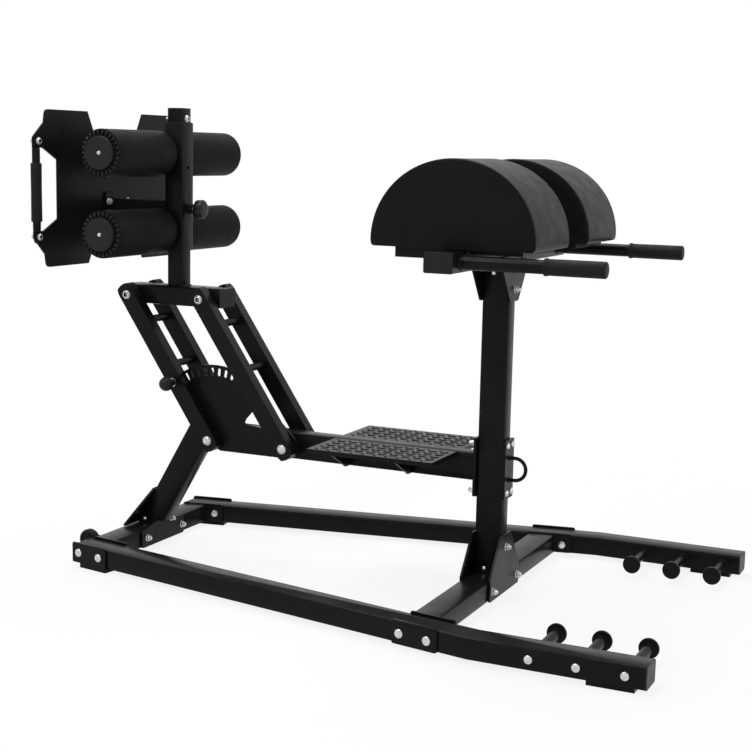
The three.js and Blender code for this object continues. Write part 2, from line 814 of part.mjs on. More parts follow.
// A pair of link bars with two cross ties, drawn along X from the lower pivot
function linkFrame(tieRise, tieDrop) {
  const shape = outline([
    [-linkEndReach, -linkWide / 2, linkEndRound],
    [linkLong + linkEndReach, -linkWide / 2, linkEndRound],
    [linkLong + linkEndReach, linkWide / 2, linkEndRound],
    [-linkEndReach, linkWide / 2, linkEndRound],
  ]);
  const bar = plateXZ(shape, linkInnerY, linkOuterY);
  const tieEnd = linkInnerY + weldBite;
  const reaches = [tieRise, linkLong - tieDrop];
  const ties = reaches.map((reach) => rodY(tieRadius, -tieEnd, tieEnd, reach, 0, boltSegments));
  const bores = [0, linkLong].map((reach) => pivotBore(reach, 0, runGap));
  return cut(join(bar, forSide(bar, "near"), ...ties), ...bores);
}

// The rear pair also carries the barrel of the plunger on its near bar
function rearLink() {
  const barrelEnd = linkOuterY + plungerCollarLong;
  const boreRadius = plungerPinRadius + runGap;
  const boreStart = -barrelEnd - overrun;
  const barrel = rodY(plungerCollarRadius, -barrelEnd, weldBite - linkOuterY, slotMidRadius, 0);
  const bore = rodY(boreRadius, boreStart, overrun - linkInnerY, slotMidRadius, 0, boltSegments);
  return cut(join(linkFrame(rearTieRise, rearTieDrop), barrel), bore);
}

// Plunger: pin, stem and ball knob, drawn towards +Y and mirrored
function linkPlunger() {
  const nose = quadrantOuterY + runGap;
  const stemStart = linkOuterY + plungerCollarLong + runGap;
  const knobMid = linkOuterY + plungerKnobReach;
  const firstAngle = Math.asin(plungerStemRadius / plungerKnobRadius);
  const knob = Array.from({ length: knobSteps + 1 }, (_, k) => {
    const angle = firstAngle + (k / knobSteps) * (Math.PI - firstAngle);
    const radius = k === knobSteps ? 0 : plungerKnobRadius * Math.sin(angle);
    return [radius, knobMid - plungerKnobRadius * Math.cos(angle)];
  });
  const profile = [
    [0, nose],
    [plungerPinRadius, nose],
    [plungerPinRadius, stemStart],
    [plungerStemRadius, stemStart],
    ...knob,
  ];
  return forSide(turnedY(profile), "near").translate([slotMidRadius, 0, 0]);
}

// Carriage: a box tube with a pivot tube through each end
const carriageRearX = rearPivotX + linkRun - carriageRearOverhang;
const carriageFrontX = frontPivotX + linkRun + carriageFrontOverhang;
function carriage() {
  const section = [carriageWide, carriageTall, carriageWall];
  const tube = tubeAlongX(carriageRearX, carriageFrontX, pivotHighZ, ...section);
  const endPlate = plateYZ(
    sheet(carriageWide - carriageWall, carriageTall - carriageWall, tubeRound),
    carriageFrontX - carriageWall,
    carriageFrontX,
  );
  const pivots = [rearPivotX + linkRun, frontPivotX + linkRun];
  const reach = linkInnerY - pivotTubeGap;
  const bosses = pivots.map((x) => rodY(pivotTubeRadius, -reach, reach, x, pivotHighZ));
  const bores = pivots.map((x) => pivotBore(x, pivotHighZ, seatGap));
  return cut(join(tube, endPlate.translate([0, 0, pivotHighZ]), ...bosses), ...bores);
}

function rollerPost() {
  const low = carriageTopZ + seatGap;
  const high = rollerPostTopZ - postCapThick - seatGap;
  const post = tubeAlongZ(rollerPostX, low, high, rollerPostSize, rollerPostSize, tubeWall);
  const faceX = rollerPostX + rollerPostSize / 2;
  const heights = Array.from({ length: pinHoleCount }, (_, i) => popPinZ - i * pinHolePitch);
  heights.push(rollerPostTopZ - topHoleDrop);
  const holes = heights.map((z) => rodX(pinHoleRadius, faceX - overrun, faceX + overrun, z, boltSegments));
  return cut(post, ...holes);
}

function postCap() {
  const seat = rollerPostTopZ - postCapThick;
  const top = plateYZ(sheet(rollerPostSize, rollerPostSize, tubeRound), seat, rollerPostTopZ);
  const size = rollerPostSize - 2 * (tubeWall + seatGap);
  const plug = plateYZ(sheet(size, size, tubeWall / 2), seat - capPlug, seat + weldBite);
  return join(top, plug).rotate([0, -quarterTurn, 0]).translate([rollerPostX, 0, 0]);
}

// Sleeve with its roller axles, the arm to the foot plate and the boss of the pop pin
function rollerSleeve() {
  const tube = tubeAlongZ(rollerPostX, sleeveLowZ, sleeveTopZ, sleeveSize, sleeveSize, sleeveWall);
  const half = sleeveSize / 2;
  const wedge = outline([
    [half - sleeveChamferDepth, sleeveTopZ],
    [half + overrun, sleeveTopZ + overrun],
    [half + overrun, sleeveTopZ - sleeveChamfer],
    [half, sleeveTopZ - sleeveChamfer],
  ]);
  const sideWedge = plateYZ(wedge, -sleeveSize, sleeveSize);
  const chamfers = [0, 1, 2, 3].map((turns) =>
    sideWedge.rotate([0, 0, turns * quarterTurn]).translate([rollerPostX, 0, 0]),
  );
  const axleEnd = rollerEndY - rollerCapThick - runGap;
  const axles = Object.values(rollerZs).map((z) => rodY(rollerAxleRadius, -axleEnd, axleEnd, rollerX, z));
  const flangeX = footPlateX + plateThick / 2 + seatGap;
  const arm = tubeAlongX(flangeX, sleeveRearX + weldBite, armZ, armSize, armSize, tubeWall);
  const flangeShape = sheet(2 * armFlangeHalf, 2 * armFlangeHalfTall, plateRound);
  const flange = plateYZ(flangeShape, flangeX, flangeX + plateThick);
  const mouth = armSize - 2 * tubeWall;
  const mouthShape = sheet(mouth, mouth, tubeWall / 2);
  const opening = plateYZ(mouthShape, flangeX - overrun, flangeX + plateThick + overrun);
  const boss = rodX(popBossRadius, sleeveFrontX - weldBite, sleeveFrontX + popBossLong, popPinZ);
  const holeStart = sleeveFrontX - sleeveWall - sleeveClear;
  const boreEnd = sleeveFrontX + popBossLong + overrun;
  const pinBore = rodX(popPinRadius + runGap, holeStart, boreEnd, popPinZ, boltSegments);
  const spareHole = rodX(pinHoleRadius, holeStart, sleeveFrontX + overrun, sleeveLowZ + spareHoleRise);
  const shell = cut(tube, ...chamfers);
  const whole = join(shell, ...axles, arm, flange.translate([0, 0, armZ]), boss);
  return cut(whole, opening.translate([0, 0, armZ]), pinBore, spareHole);
}

function popPin() {
  const nose = sleeveFrontX - sleeveWall + seatGap;
  const bossEnd = sleeveFrontX + popBossLong;
  const knobStart = bossEnd + popNeckLong;
  const knobEnd = knobStart + popKnobLong;
  const profile = [
    [0, nose],
    [popPinRadius, nose],
    [popPinRadius, knobStart],
    [popKnobRadius - popKnobEdge, knobStart],
    [popKnobRadius, knobStart + popKnobEdge],
    [popKnobRadius, knobEnd - popKnobEdge],
    [popKnobRadius - popKnobEdge, knobEnd],
    [0, knobEnd],
  ];
  return turnedX(profile).translate([0, 0, popPinZ]);
}

// Roller: foam tube with a ribbed end cap, drawn for the far side
function roller(z) {
  const inner = sleeveSize / 2 + rollerSideGap;
  const bore = rollerAxleRadius + runGap;
  const floor = rollerEndY - capGrooveDeep;
  const hubTop = rollerEndY + capHubRise;
  const profile = [
    [0, rollerEndY - rollerCapThick],
    [bore, rollerEndY - rollerCapThick],
    [bore, inner],
    [rollerRadius - rollerBevel, inner],
    [rollerRadius, inner + rollerBevel],
    [rollerRadius, rollerEndY - rollerBevel],
    [capGrooveRadius, rollerEndY],
    [capGrooveRadius, floor],
    [capHubRadius, floor],
    [capHubRadius, hubTop - capHubEdge],
    [capHubRadius - capHubEdge, hubTop],
    [0, hubTop],
  ];
  const body = turnedY(profile, rollerSegments);
  const ribs = Array.from({ length: capRibCount }, (_, i) =>
    block(
      capHubRadius - weldBite,
      capGrooveRadius + weldBite,
      floor - weldBite,
      rollerEndY - capRibDrop,
      -capRibThick / 2,
      capRibThick / 2,
    ).rotate([0, (i * 4 * quarterTurn) / capRibCount, 0]),
  );
  return join(body, ...ribs).translate([rollerX, 0, z]);
}

// Foot plate: a flat plate with a notch above and below and an open hand gap at each side
function footPlate() {
  const earLowZ = footPlateLowZ + earLowInset;
  const earTopZ = footPlateTopZ - earTopInset;
  const shape = evenOutline([
    [notchHalfFoot, footPlateLowZ + notchDeep, plateRound],
    [notchHalfTop, footPlateLowZ],
    [wingHalf, footPlateLowZ, wingRound],
    [shoulderHalf, footPlateLowZ + shoulderDrop],
    [earHalf - earEdge, earLowZ],
    [earHalf, earLowZ + earEdge],
    [earHalf, handGapLowZ],
    [handGapOuterY, handGapLowZ],
    [handGapInnerY, handGapLowZ + handGapSlope],
    [handGapInnerY, handGapTopZ - handGapSlope],
    [handGapOuterY, handGapTopZ],
    [earHalf, handGapTopZ],
    [earHalf, earTopZ - earEdge],
    [earHalf - earEdge, earTopZ],
    [shoulderHalf, footPlateTopZ - shoulderDrop],
    [wingHalf, footPlateTopZ, wingRound],
    [notchHalfTop, footPlateTopZ],
    [notchHalfFoot, footPlateTopZ - notchDeep, plateRound],
  ]);
  return plateYZ(shape, footPlateX - plateThick / 2, footPlateX + plateThick / 2);
}

// Handle on the far ear: a round bar whose flattened ends lie behind the ear
function footHandle() {
  const low = handGapLowZ - tongueLap;
  const high = handGapTopZ + tongueLap;
  const bar = turnedY(barProfile(footHandleRadius, low + tongueLong, high - tongueLong));
  const tongues = [
    [low, low + tongueLong + weldBite],
    [high - tongueLong - weldBite, high],
  ].map(([from, to]) => {
    const tongue = sheet(2 * footHandleRadius, to - from, plateRound);
    return plateYZ(tongue, -tongueThick / 2, tongueThick / 2).translate([0, 0, (from + to) / 2]);
  });
  const whole = join(bar.rotate([quarterTurn, 0, 0]), ...tongues);
  return whole.translate([footHandleX, footHandleY, 0]);
}

function footGrip() {
  const bore = footHandleRadius + seatGap;
  const low = handGapLowZ + footGripLowInset;
  const top = handGapTopZ - footGripTopInset;
  const profile = [
    [bore, low],
    [footGripRadius - gripEdge, low],
    [footGripRadius, low + gripEdge],
    [footGripRadius, top - gripEdge],
    [footGripRadius - gripEdge, top],
    [bore, top],
    [bore, low],
  ];
  return turnedY(profile).rotate([quarterTurn, 0, 0]).translate([footHandleX, footHandleY, 0]);
}

// Pad post, its gussets, the backing plate of the spine and the lift handle
function padPost() {
  const low = railTopZ + seatGap;
  const high = padTubeZ - tubeTall / 2 - seatGap;
  return tubeAlongZ(0, low, high, tubeWide, tubeTall, tubeWall);
}

const onPostFace = (shape, front) => {
  const face = postHalfX + seatGap;
  return front ? plateYZ(shape, face, face + plateThick) : plateYZ(shape, -face - plateThick, -face);
};
const lowGusset = () =>
  evenOutline([
    [lowGussetHalf, lowGussetLowZ, plateRound],
    [lowGussetHalf, lowGussetShoulderZ, plateRound],
    [lowGussetTopHalf, lowGussetTopZ, plateRound],
  ]);
const highGusset = () =>
  evenOutline([
    [highGussetFootHalf, highGussetFootZ, plateRound],
    [highGussetHalf, highGussetShoulderZ, plateRound],
    [highGussetHalf, highGussetTopZ],
  ]);

function liftHandle() {
  const face = postHalfX + seatGap;
  const root = face + flangeThick - weldBite;
  const bendX = root + liftStraight;
  const half = liftHalfTall;
  const ease = (4 / 3) * Math.tan(Math.PI / 8) * half; // quarter circle as a cubic curve
  const at = (x, z) => new THREE.Vector3(x, 0, z);
  const path = new THREE.CurvePath();
  path.add(new THREE.LineCurve3(at(root, half), at(bendX, half)));
  path.add(new THREE.CubicBezierCurve3(
    at(bendX, half),
    at(bendX + ease, half),
    at(bendX + half, ease),
    at(bendX + half, 0),
  ));
  path.add(new THREE.CubicBezierCurve3(
    at(bendX + half, 0),
    at(bendX + half, -ease),
    at(bendX + ease, -half),
    at(bendX, -half),
  ));
  path.add(new THREE.LineCurve3(at(bendX, -half), at(root, -half)));
  const section = new THREE.Shape().absarc(0, 0, liftRodRadius, 0, 2 * Math.PI, false);
  const how = { steps: liftSteps, curveSegments: wireFacets, extrudePath: path };
  const rod = new THREE.ExtrudeGeometry(section, how);
  return join(backingPlate(face), solid(rod)).translate([0, 0, spineMidZ]);
}

// Step plate beside the spine, with skirts and two gussets welded underneath
function tread() {
  const frontX = treadRearX + treadLong;
  const low = treadTopZ - treadSkirt;
  const whole = block(treadRearX, frontX, treadInnerY, treadOuterY, low, treadTopZ);
  const hollow = block(
    treadRearX + treadThick,
    frontX - treadThick,
    treadInnerY - overrun,
    treadOuterY - treadThick,
    low - overrun,
    treadTopZ - treadThick,
  );
  const root = postHalfY + seatGap;
  const under = treadTopZ - treadThick + weldBite;
  const shape = outline([
    [root, treadGussetLowZ],
    [treadGussetFoot, treadGussetLowZ, plateRound],
    [treadGussetReach, under - treadGussetEdge],
    [treadGussetReach, under],
    [root, under],
  ]);
  const gussets = treadGussetSets.map((set) => {
    const x = treadRearX + set;
    return plateYZ(shape, x - treadGussetThick / 2, x + treadGussetThick / 2);
  });
  return join(cut(whole, hollow), ...gussets);
}

// Pad carrier: cross tube, plugs, trays and handle bars
const padTube = () =>
  lyingTube(straight([0, -padTubeHalf], [0, padTubeHalf], [-1, 0]), tubeTall, padTubeZ);
const padTubeCap = () =>
  endPlug(tubeWide, tubeTall, tubeWall).rotate([0, 0, quarterTurn]).translate([0, padTubeHalf, padTubeZ]);

function tray() {
  const under = trayTopZ - trayThick;
  const clearX = postHalfX + trayTubeGap;
  const whole = block(trayRearX, trayFrontX, trayInnerY, trayOuterY, padTubeTopZ + seatGap, trayTopZ);
  const skirts = [
    [trayRearX, -clearX, trayRearSkirt, trayRearX + trayThick, -clearX + overrun],
    [clearX, trayFrontX, trayFrontSkirt, clearX - overrun, trayFrontX - trayThick],
  ].map(([from, to, drop, cutFrom, cutTo]) => {
    const solidPart = block(from, to, trayInnerY, trayOuterY, under - drop, under + weldBite);
    const inside = block(
      cutFrom,
      cutTo,
      trayInnerY + trayThick,
      trayOuterY - trayThick,
      under - drop - overrun,
      under,
    );
    return cut(solidPart, inside);
  });
  return join(whole, ...skirts);
}

function handleBar() {
  const root = postHalfX + seatGap;
  const inner = handleBarRadius - handleBarWall;
  const profile = [
    [inner, root],
    [handleBarRadius, root],
    [handleBarRadius, handleBarEndX],
    [inner, handleBarEndX],
    [inner, root],
  ];
  return turnedX(profile).translate([0, handleBarY, padTubeZ]);
}

function handleGrip() {
  const bore = handleBarRadius + seatGap;
  const floor = handleBarEndX + seatGap;
  const end = floor + handleGripEnd;
  const flare = handleGripRadius + handleGripFlare;
  const profile = [
    [0, floor],
    [bore, floor],
    [bore, handleGripStartX],
    [flare, handleGripStartX],
    [flare, handleGripStartX + handleGripFlareLong / 2],
    [handleGripRadius, handleGripStartX + handleGripFlareLong],
    [handleGripRadius, end - gripEdge],
    [handleGripRadius - gripEdge, end],
    [0, end],
  ];
  return turnedX(profile).translate([0, handleBarY, padTubeZ]);
}

// Hip pad: a round top over a flat base, crowned across its width, with swollen end faces
function hipPad() {
  const ring = (inset) => {
    const radius = padRadius - inset;
    const base = radius - padTuck;
    const arc = Array.from({ length: padArcSteps + 1 }, (_, k) => {
      const angle = (k / padArcSteps) * Math.PI;
      return [radius * Math.cos(angle), padArcLift + radius * Math.sin(angle)];
    });
    const floor = Array.from({ length: padBaseSteps + 1 }, (_, k) => [
      (2 * k / padBaseSteps - 1) * base,
      0,
    ]);
    return [...arc, ...floor];
  };
  const half = (padOuterY - padInnerY) / 2 - padFaceSwell;
  const straightHalf = half - padEdgeRound;
  const edge = Array.from({ length: padEdgeSteps }, (_, k) => {
    const angle = ((k + 1) / padEdgeSteps) * (Math.PI / 2);
    return [straightHalf + padEdgeRound * Math.sin(angle), padCrown + padEdgeRound * (1 - Math.cos(angle))];
  });
  const width = Array.from({ length: 2 * padWidthSteps + 1 }, (_, k) => {
    const across = k / padWidthSteps - 1;
    return [across * straightHalf, padCrown * across * across];
  });
  const faceMid = padFaceMidShare * (padRadius + padArcLift);
  const rings = [...edge.map(([y, inset]) => [-y, inset]).reverse(), ...width, ...edge].map(([y, inset]) =>
    ring(inset).map(([x, z]) => [x, y, z]),
  );
  const face = (loop, way) =>
    padFaceShares.map((share) =>
      loop.map(([x, y, z]) => [
        x * share,
        y + way * padFaceSwell * (1 - share * share),
        faceMid + (z - faceMid) * share,
      ]),
    );
  const all = [...face(rings[0], -1).reverse(), ...rings, ...face(rings.at(-1), 1)];
  const positions = all.flat(2);
  const count = all[0].length;
  const indices = [];
  for (let i = 0; i + 1 < all.length; i += 1) {
    for (let k = 0; k < count; k += 1) {
      const [low, lowNext] = [i * count + k, i * count + ((k + 1) % count)];
      indices.push(low, lowNext, lowNext + count, low, lowNext + count, low + count);
    }
  }
  const last = (all.length - 1) * count;
  positions.push(0, -half - padFaceSwell, faceMid, 0, half + padFaceSwell, faceMid);
  for (let k = 0; k < count; k += 1) {
    const next = (k + 1) % count;
    indices.push(next, k, all.length * count, last + k, last + next, all.length * count + 1);
  }
  const geometry = new THREE.BufferGeometry();
  geometry.setAttribute("position", new THREE.Float32BufferAttribute(positions, 3));
  geometry.setIndex(indices);
  return solid(geometry).translate([0, (padInnerY + padOuterY) / 2, padBaseZ]);
}

// Assembly
const machine = new THREE.Group();
const frame = new THREE.Group();
const footUnit = new THREE.Group();
const padUnit = new THREE.Group();
const rearLinks = new THREE.Group();
const frontLinks = new THREE.Group();
machine.add(frame, footUnit, padUnit, rearLinks, frontLinks);

placePair("rail", rail(), powderCoat, frame);
placePair("rail_cap", railCap(), greyPlastic, frame);
const forkPair = ["near", "far"].map((side) => forSide(wheelFork(), side));
const footCross = crossmember(footCrossX, footCrossX + footPlateShift);
place("foot_crossmember", join(footCross, toeGusset(), ...forkPair), powderCoat, frame);
place("pad_crossmember", crossmember(0, padPlateShift), powderCoat, frame);
placePair("foot_joint_plate", footJointPlate(), powderCoat, frame);
placePair("pad_joint_plate", padJointPlate(), powderCoat, frame);
for (let i = 0; i < pegCount; i += 1) {
  placePair(`band_peg_${i + 1}`, bandPeg(pegFirstX + i * pegPitch), powderCoat, frame);
}
placePair("wheel", wheel(), rubber, frame);

place("main_beam", mainBeam(), powderCoat, frame);
place("quadrant_plate", quadrantPlate(), powderCoat, frame);
placePair("tread", tread(), powderCoat, frame);
place("pivot_pin_low_rear", pivotPin(rearPivotX, spineMidZ), zinc, frame);
place("pivot_pin_low_front", pivotPin(frontPivotX, spineMidZ), zinc, frame);

place("rear_link", rearLink(), powderCoat, rearLinks);
place("link_plunger", linkPlunger(), plastic, rearLinks);
place("front_link", linkFrame(frontTieRise, frontTieDrop), powderCoat, frontLinks);
rearLinks.position.set(rearPivotX, 0, spineMidZ);
frontLinks.position.set(frontPivotX, 0, spineMidZ);
rearLinks.rotation.y = -linkAngle;
frontLinks.rotation.y = -linkAngle;

place("carriage", carriage(), powderCoat, footUnit);
place("pivot_pin_high_rear", pivotPin(rearPivotX + linkRun, pivotHighZ), zinc, footUnit);
place("pivot_pin_high_front", pivotPin(frontPivotX + linkRun, pivotHighZ), zinc, footUnit);
place("roller_post", rollerPost(), powderCoat, footUnit);
place("roller_post_cap", postCap(), plastic, footUnit);
place("roller_sleeve", rollerSleeve(), powderCoat, footUnit);
place("pop_pin", popPin(), plastic, footUnit);
for (const [level, z] of Object.entries(rollerZs)) {
  placePair(`roller_${level}`, roller(z), foam, footUnit);
}
place("foot_plate", footPlate(), powderCoat, footUnit);
placePair("foot_handle", footHandle(), powderCoat, footUnit);
placePair("foot_grip", footGrip(), rubber, footUnit);

place("pad_post", padPost(), powderCoat, padUnit);
place("post_gusset_low_front", onPostFace(lowGusset(), true), powderCoat, padUnit);
place("post_gusset_low_rear", onPostFace(lowGusset(), false), powderCoat, padUnit);
place("post_gusset_high_front", onPostFace(highGusset(), true), powderCoat, padUnit);
place("post_gusset_high_rear", onPostFace(highGusset(), false), powderCoat, padUnit);
place("lift_handle", liftHandle(), powderCoat, padUnit);
place("pad_tube", padTube(), powderCoat, padUnit);
placePair("pad_tube_cap", padTubeCap(), plastic, padUnit);
placePair("pad_tray", tray(), powderCoat, padUnit);
placePair("handle_bar", handleBar(), powderCoat, padUnit);
placePair("handle_grip", handleGrip(), rubber, padUnit);
placePair("hip_pad", hipPad(), vinyl, padUnit);

// The origin lies on the floor under the middle of the machine's box
machine.position.x = -(frontEndX + rearEndX) / 2;

export default machine;
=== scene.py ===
import json
import math

import bmesh
import bpy
from mathutils import Matrix, Vector, noise
from mathutils.bvhtree import BVHTree


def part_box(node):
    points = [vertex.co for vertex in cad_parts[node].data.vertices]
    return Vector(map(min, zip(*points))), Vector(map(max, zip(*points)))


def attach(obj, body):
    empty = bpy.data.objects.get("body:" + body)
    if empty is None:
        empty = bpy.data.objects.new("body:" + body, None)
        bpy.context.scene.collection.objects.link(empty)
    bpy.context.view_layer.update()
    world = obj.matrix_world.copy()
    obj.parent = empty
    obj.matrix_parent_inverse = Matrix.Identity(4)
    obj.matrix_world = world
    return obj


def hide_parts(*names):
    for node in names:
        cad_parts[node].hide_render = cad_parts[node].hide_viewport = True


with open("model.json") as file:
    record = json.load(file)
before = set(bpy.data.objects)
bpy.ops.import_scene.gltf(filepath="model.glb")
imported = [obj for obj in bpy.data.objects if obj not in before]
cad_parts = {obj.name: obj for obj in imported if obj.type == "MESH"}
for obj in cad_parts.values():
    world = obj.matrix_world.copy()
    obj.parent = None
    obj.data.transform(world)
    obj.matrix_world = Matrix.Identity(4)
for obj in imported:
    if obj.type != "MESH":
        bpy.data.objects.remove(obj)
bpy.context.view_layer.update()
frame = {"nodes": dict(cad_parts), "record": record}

scene = bpy.context.scene
MM = 0.001
TO_METRES = Matrix.Scale(MM, 4)
X, Y, Z = Vector((1, 0, 0)), Vector((0, 1, 0)), Vector((0, 0, 1))
SIDES = {"near": -1, "far": 1}
LEVELS = ("high", "low")  # of the rollers
CORNERS = ((-1, -1), (1, -1), (1, 1), (-1, 1))  # of a square about its middle

# Camera: the photograph's place and angle
CAMERA_AT = Vector((1652.44, -3623.18, 1181.96)) * MM
AZIMUTH, ELEVATION, ROLL = (math.radians(a) for a in (24.84, 8.73, 1.21))
FOCAL_SHARE = 1463.87 / 752  # focal length over the picture's width
SENSOR = 36
forward = Vector((
    -math.sin(AZIMUTH) * math.cos(ELEVATION),
    math.cos(AZIMUTH) * math.cos(ELEVATION),
    -math.sin(ELEVATION),
))
level_right = Vector((math.cos(AZIMUTH), math.sin(AZIMUTH), 0))
level_up = level_right.cross(forward)
right = level_right * math.cos(ROLL) + level_up * math.sin(ROLL)
up = level_up * math.cos(ROLL) - level_right * math.sin(ROLL)
camera = bpy.data.objects.new("camera", bpy.data.cameras.new("camera"))
camera.data.sensor_width = SENSOR
camera.data.lens = SENSOR * FOCAL_SHARE
camera.data.clip_end = 100
facing = Matrix((right, up, -forward)).transposed().to_4x4()
camera.matrix_world = Matrix.Translation(CAMERA_AT) @ facing
scene.collection.objects.link(camera)
scene.camera = camera

# Materials. Every pattern is laid in the machine's own frame, in metres.
PATTERN_SPAN = (0.3, 0.7)  # where nearly all values of a noise pattern lie


class Finish:
    """A principled material whose colour, roughness and relief are built from patterns."""

    def __init__(self, name, **constants):
        self.material = bpy.data.materials.new(name)
        self.material.use_nodes = True
        self.tree = self.material.node_tree
        self.shader = self.tree.nodes["Principled BSDF"]
        self.coords = self.tree.nodes.new("ShaderNodeTexCoord").outputs["Object"]
        self.relief = None
        for socket, value in constants.items():
            self.shader.inputs[socket.replace("_", " ")].default_value = value

    def node(self, kind, source, target, values=None):
        """A new node with its input values, fed by a source at one of its inputs."""
        made = self.tree.nodes.new(kind)
        for socket, value in (values or {}).items():
            made.inputs[socket].default_value = value
        self.tree.links.new(source, made.inputs[target])
        return made

    def noise(self, scale, detail=3.0, rough=0.5):
        values = {"Scale": scale, "Detail": detail, "Roughness": rough}
        return self.node("ShaderNodeTexNoise", self.coords, "Vector", values).outputs["Fac"]

    def cells(self, scale, feature="F1"):
        made = self.node("ShaderNodeTexVoronoi", self.coords, "Vector", {"Scale": scale})
        made.feature = feature
        return made.outputs["Distance"]

    def colours(self, source, dark, light):
        ramp = self.node("ShaderNodeValToRGB", source, "Fac")
        for element, place, colour in zip(ramp.color_ramp.elements, PATTERN_SPAN, (dark, light)):
            element.position = place
            element.color = (*colour, 1)
        self.tree.links.new(ramp.outputs["Color"], self.shader.inputs["Base Color"])

    def roughness(self, source, low, high):
        start, stop = PATTERN_SPAN
        values = {"From Min": start, "From Max": stop, "To Min": low, "To Max": high}
        made = self.node("ShaderNodeMapRange", source, "Value", values)
        self.tree.links.new(made.outputs["Result"], self.shader.inputs["Roughness"])

    def bump(self, source, strength, depth):
        made = self.node("ShaderNodeBump", source, "Height", {"Strength": strength, "Distance": depth})
        if self.relief is not None:
            self.tree.links.new(self.relief, made.inputs["Normal"])
        self.relief = made.outputs["Normal"]
        self.tree.links.new(self.relief, self.shader.inputs["Normal"])


def powder_coat():
    made = Finish("powder_coat", Specular_IOR_Level=0.085)
    made.colours(made.noise(5, 6, 0.6), (0.006, 0.006, 0.0067), (0.0092, 0.0092, 0.01))
    made.roughness(made.noise(14, 5, 0.65), 0.23, 0.35)
    made.bump(made.noise(420, 2, 0.5), 0.3, 0.00012)
    made.bump(made.noise(1700, 2, 0.5), 0.12, 0.00005)
    return made.material


def vinyl():
    made = Finish("vinyl", Specular_IOR_Level=0.068, Coat_Weight=0.015, Coat_Roughness=0.35)
    made.colours(made.noise(7, 6, 0.6), (0.0056, 0.0056, 0.0062), (0.0082, 0.0082, 0.009))
    made.roughness(made.noise(30, 4, 0.6), 0.34, 0.46)
    made.bump(made.noise(26, 3, 0.5), 0.25, 0.0006)
    made.bump(made.cells(1050, "DISTANCE_TO_EDGE"), 0.35, 0.00016)
    made.bump(made.noise(2600, 2), 0.2, 0.00005)
    return made.material


def foam():
    made = Finish("foam", Specular_IOR_Level=0.035)
    made.colours(made.noise(9, 5, 0.6), (0.0078, 0.0078, 0.0086), (0.0112, 0.0112, 0.0121))
    made.roughness(made.noise(22, 4, 0.6), 0.46, 0.6)
    made.bump(made.noise(45, 3), 0.2, 0.0005)
    made.bump(made.cells(1900), 0.35, 0.0001)
    return made.material


def plastic(name, low, high, smooth, rough):
    made = Finish(name, Specular_IOR_Level=0.2)
    made.colours(made.noise(11, 5, 0.6), (low, low, low * 1.05), (high, high, high * 1.05))
    made.roughness(made.noise(60, 4, 0.6), smooth, rough)
    made.bump(made.cells(2300), 0.2, 0.00005)
    return made.material


def rubber():
    made = Finish("rubber", Specular_IOR_Level=0.14, Sheen_Weight=0.04, Sheen_Roughness=0.4)
    made.colours(made.noise(12, 5, 0.6), (0.0075, 0.0075, 0.0078), (0.0115, 0.0115, 0.0118))
    made.roughness(made.noise(50, 4, 0.6), 0.55, 0.72)
    made.bump(made.noise(1300, 3, 0.6), 0.35, 0.00014)
    return made.material


def zinc():
    made = Finish("zinc", Metallic=1.0)
    made.colours(made.noise(160, 4, 0.6), (0.42, 0.43, 0.45), (0.74, 0.75, 0.77))
    made.roughness(made.noise(260, 4, 0.6), 0.16, 0.34)
    made.bump(made.noise(1500, 3), 0.12, 0.00004)
    return made.material


POWDER = powder_coat()
VINYL = vinyl()
FOAM = foam()
BLACK_PLASTIC = plastic("black_plastic", 0.0075, 0.0115, 0.32, 0.46)
GREY_PLASTIC = plastic("grey_plastic", 0.022, 0.03, 0.4, 0.55)
RUBBER = rubber()
ZINC = zinc()
STITCH = plastic("stitching", 0.016, 0.024, 0.6, 0.75)
# near black, laid inside bolt sockets and the plunger ring's well: painted shade of those recesses
RECESS_SHADE_BLACK = plastic("painted_recess_shade", 0.004, 0.008, 0.4, 0.6)
# zinc for the bolts, and the painted recess shade for their sockets and wells
ZINC_WITH_SHADED_RECESSES = [ZINC, RECESS_SHADE_BLACK]
BY_SLOT = {
    "powder_coat": POWDER,
    "black_vinyl": VINYL,
    "black_foam": FOAM,
    "black_plastic": BLACK_PLASTIC,
    "grey_plastic": GREY_PLASTIC,
    "black_rubber": RUBBER,
    "zinc": ZINC,
}


# Mesh tools. Shapes are drawn in millimetres and stored in metres.
def aim(at, direction, spin=0.0):
    """From a shape drawn about its own Z axis to the machine's frame."""
    turned = Vector(direction).to_track_quat("Z", "Y").to_matrix().to_4x4()
    return TO_METRES @ Matrix.Translation(at) @ turned @ Matrix.Rotation(spin, 4, "Z")


def outwards(at, sign):
    """For a shape about a crosswise axis, drawn outwards from the machine's middle plane."""
    return aim((at.x, 0, at.z), Y * sign)


def fillet(points, steps=4):
    """An open line of [radius, along] points, where a third number rounds the corner."""
    made = []
    for i, (r, z, *extra) in enumerate(points):
        size = extra[0] if extra else 0
        if not size:
            made.append((r, z))
            continue
        corner = Vector((r, z))
        back = (Vector(points[i - 1][:2]) - corner).normalized()
        on = (Vector(points[i + 1][:2]) - corner).normalized()
        half = back.angle(on) / 2
        centre = corner + (back + on).normalized() * size / math.sin(half)
        first = corner + back * size / math.tan(half) - centre
        last = corner + on * size / math.tan(half) - centre
        turn = first.angle_signed(last)
        for k in range(steps + 1):
            at = centre + Matrix.Rotation(-turn * k / steps, 2) @ first
            made.append((at.x, at.y))
    return made


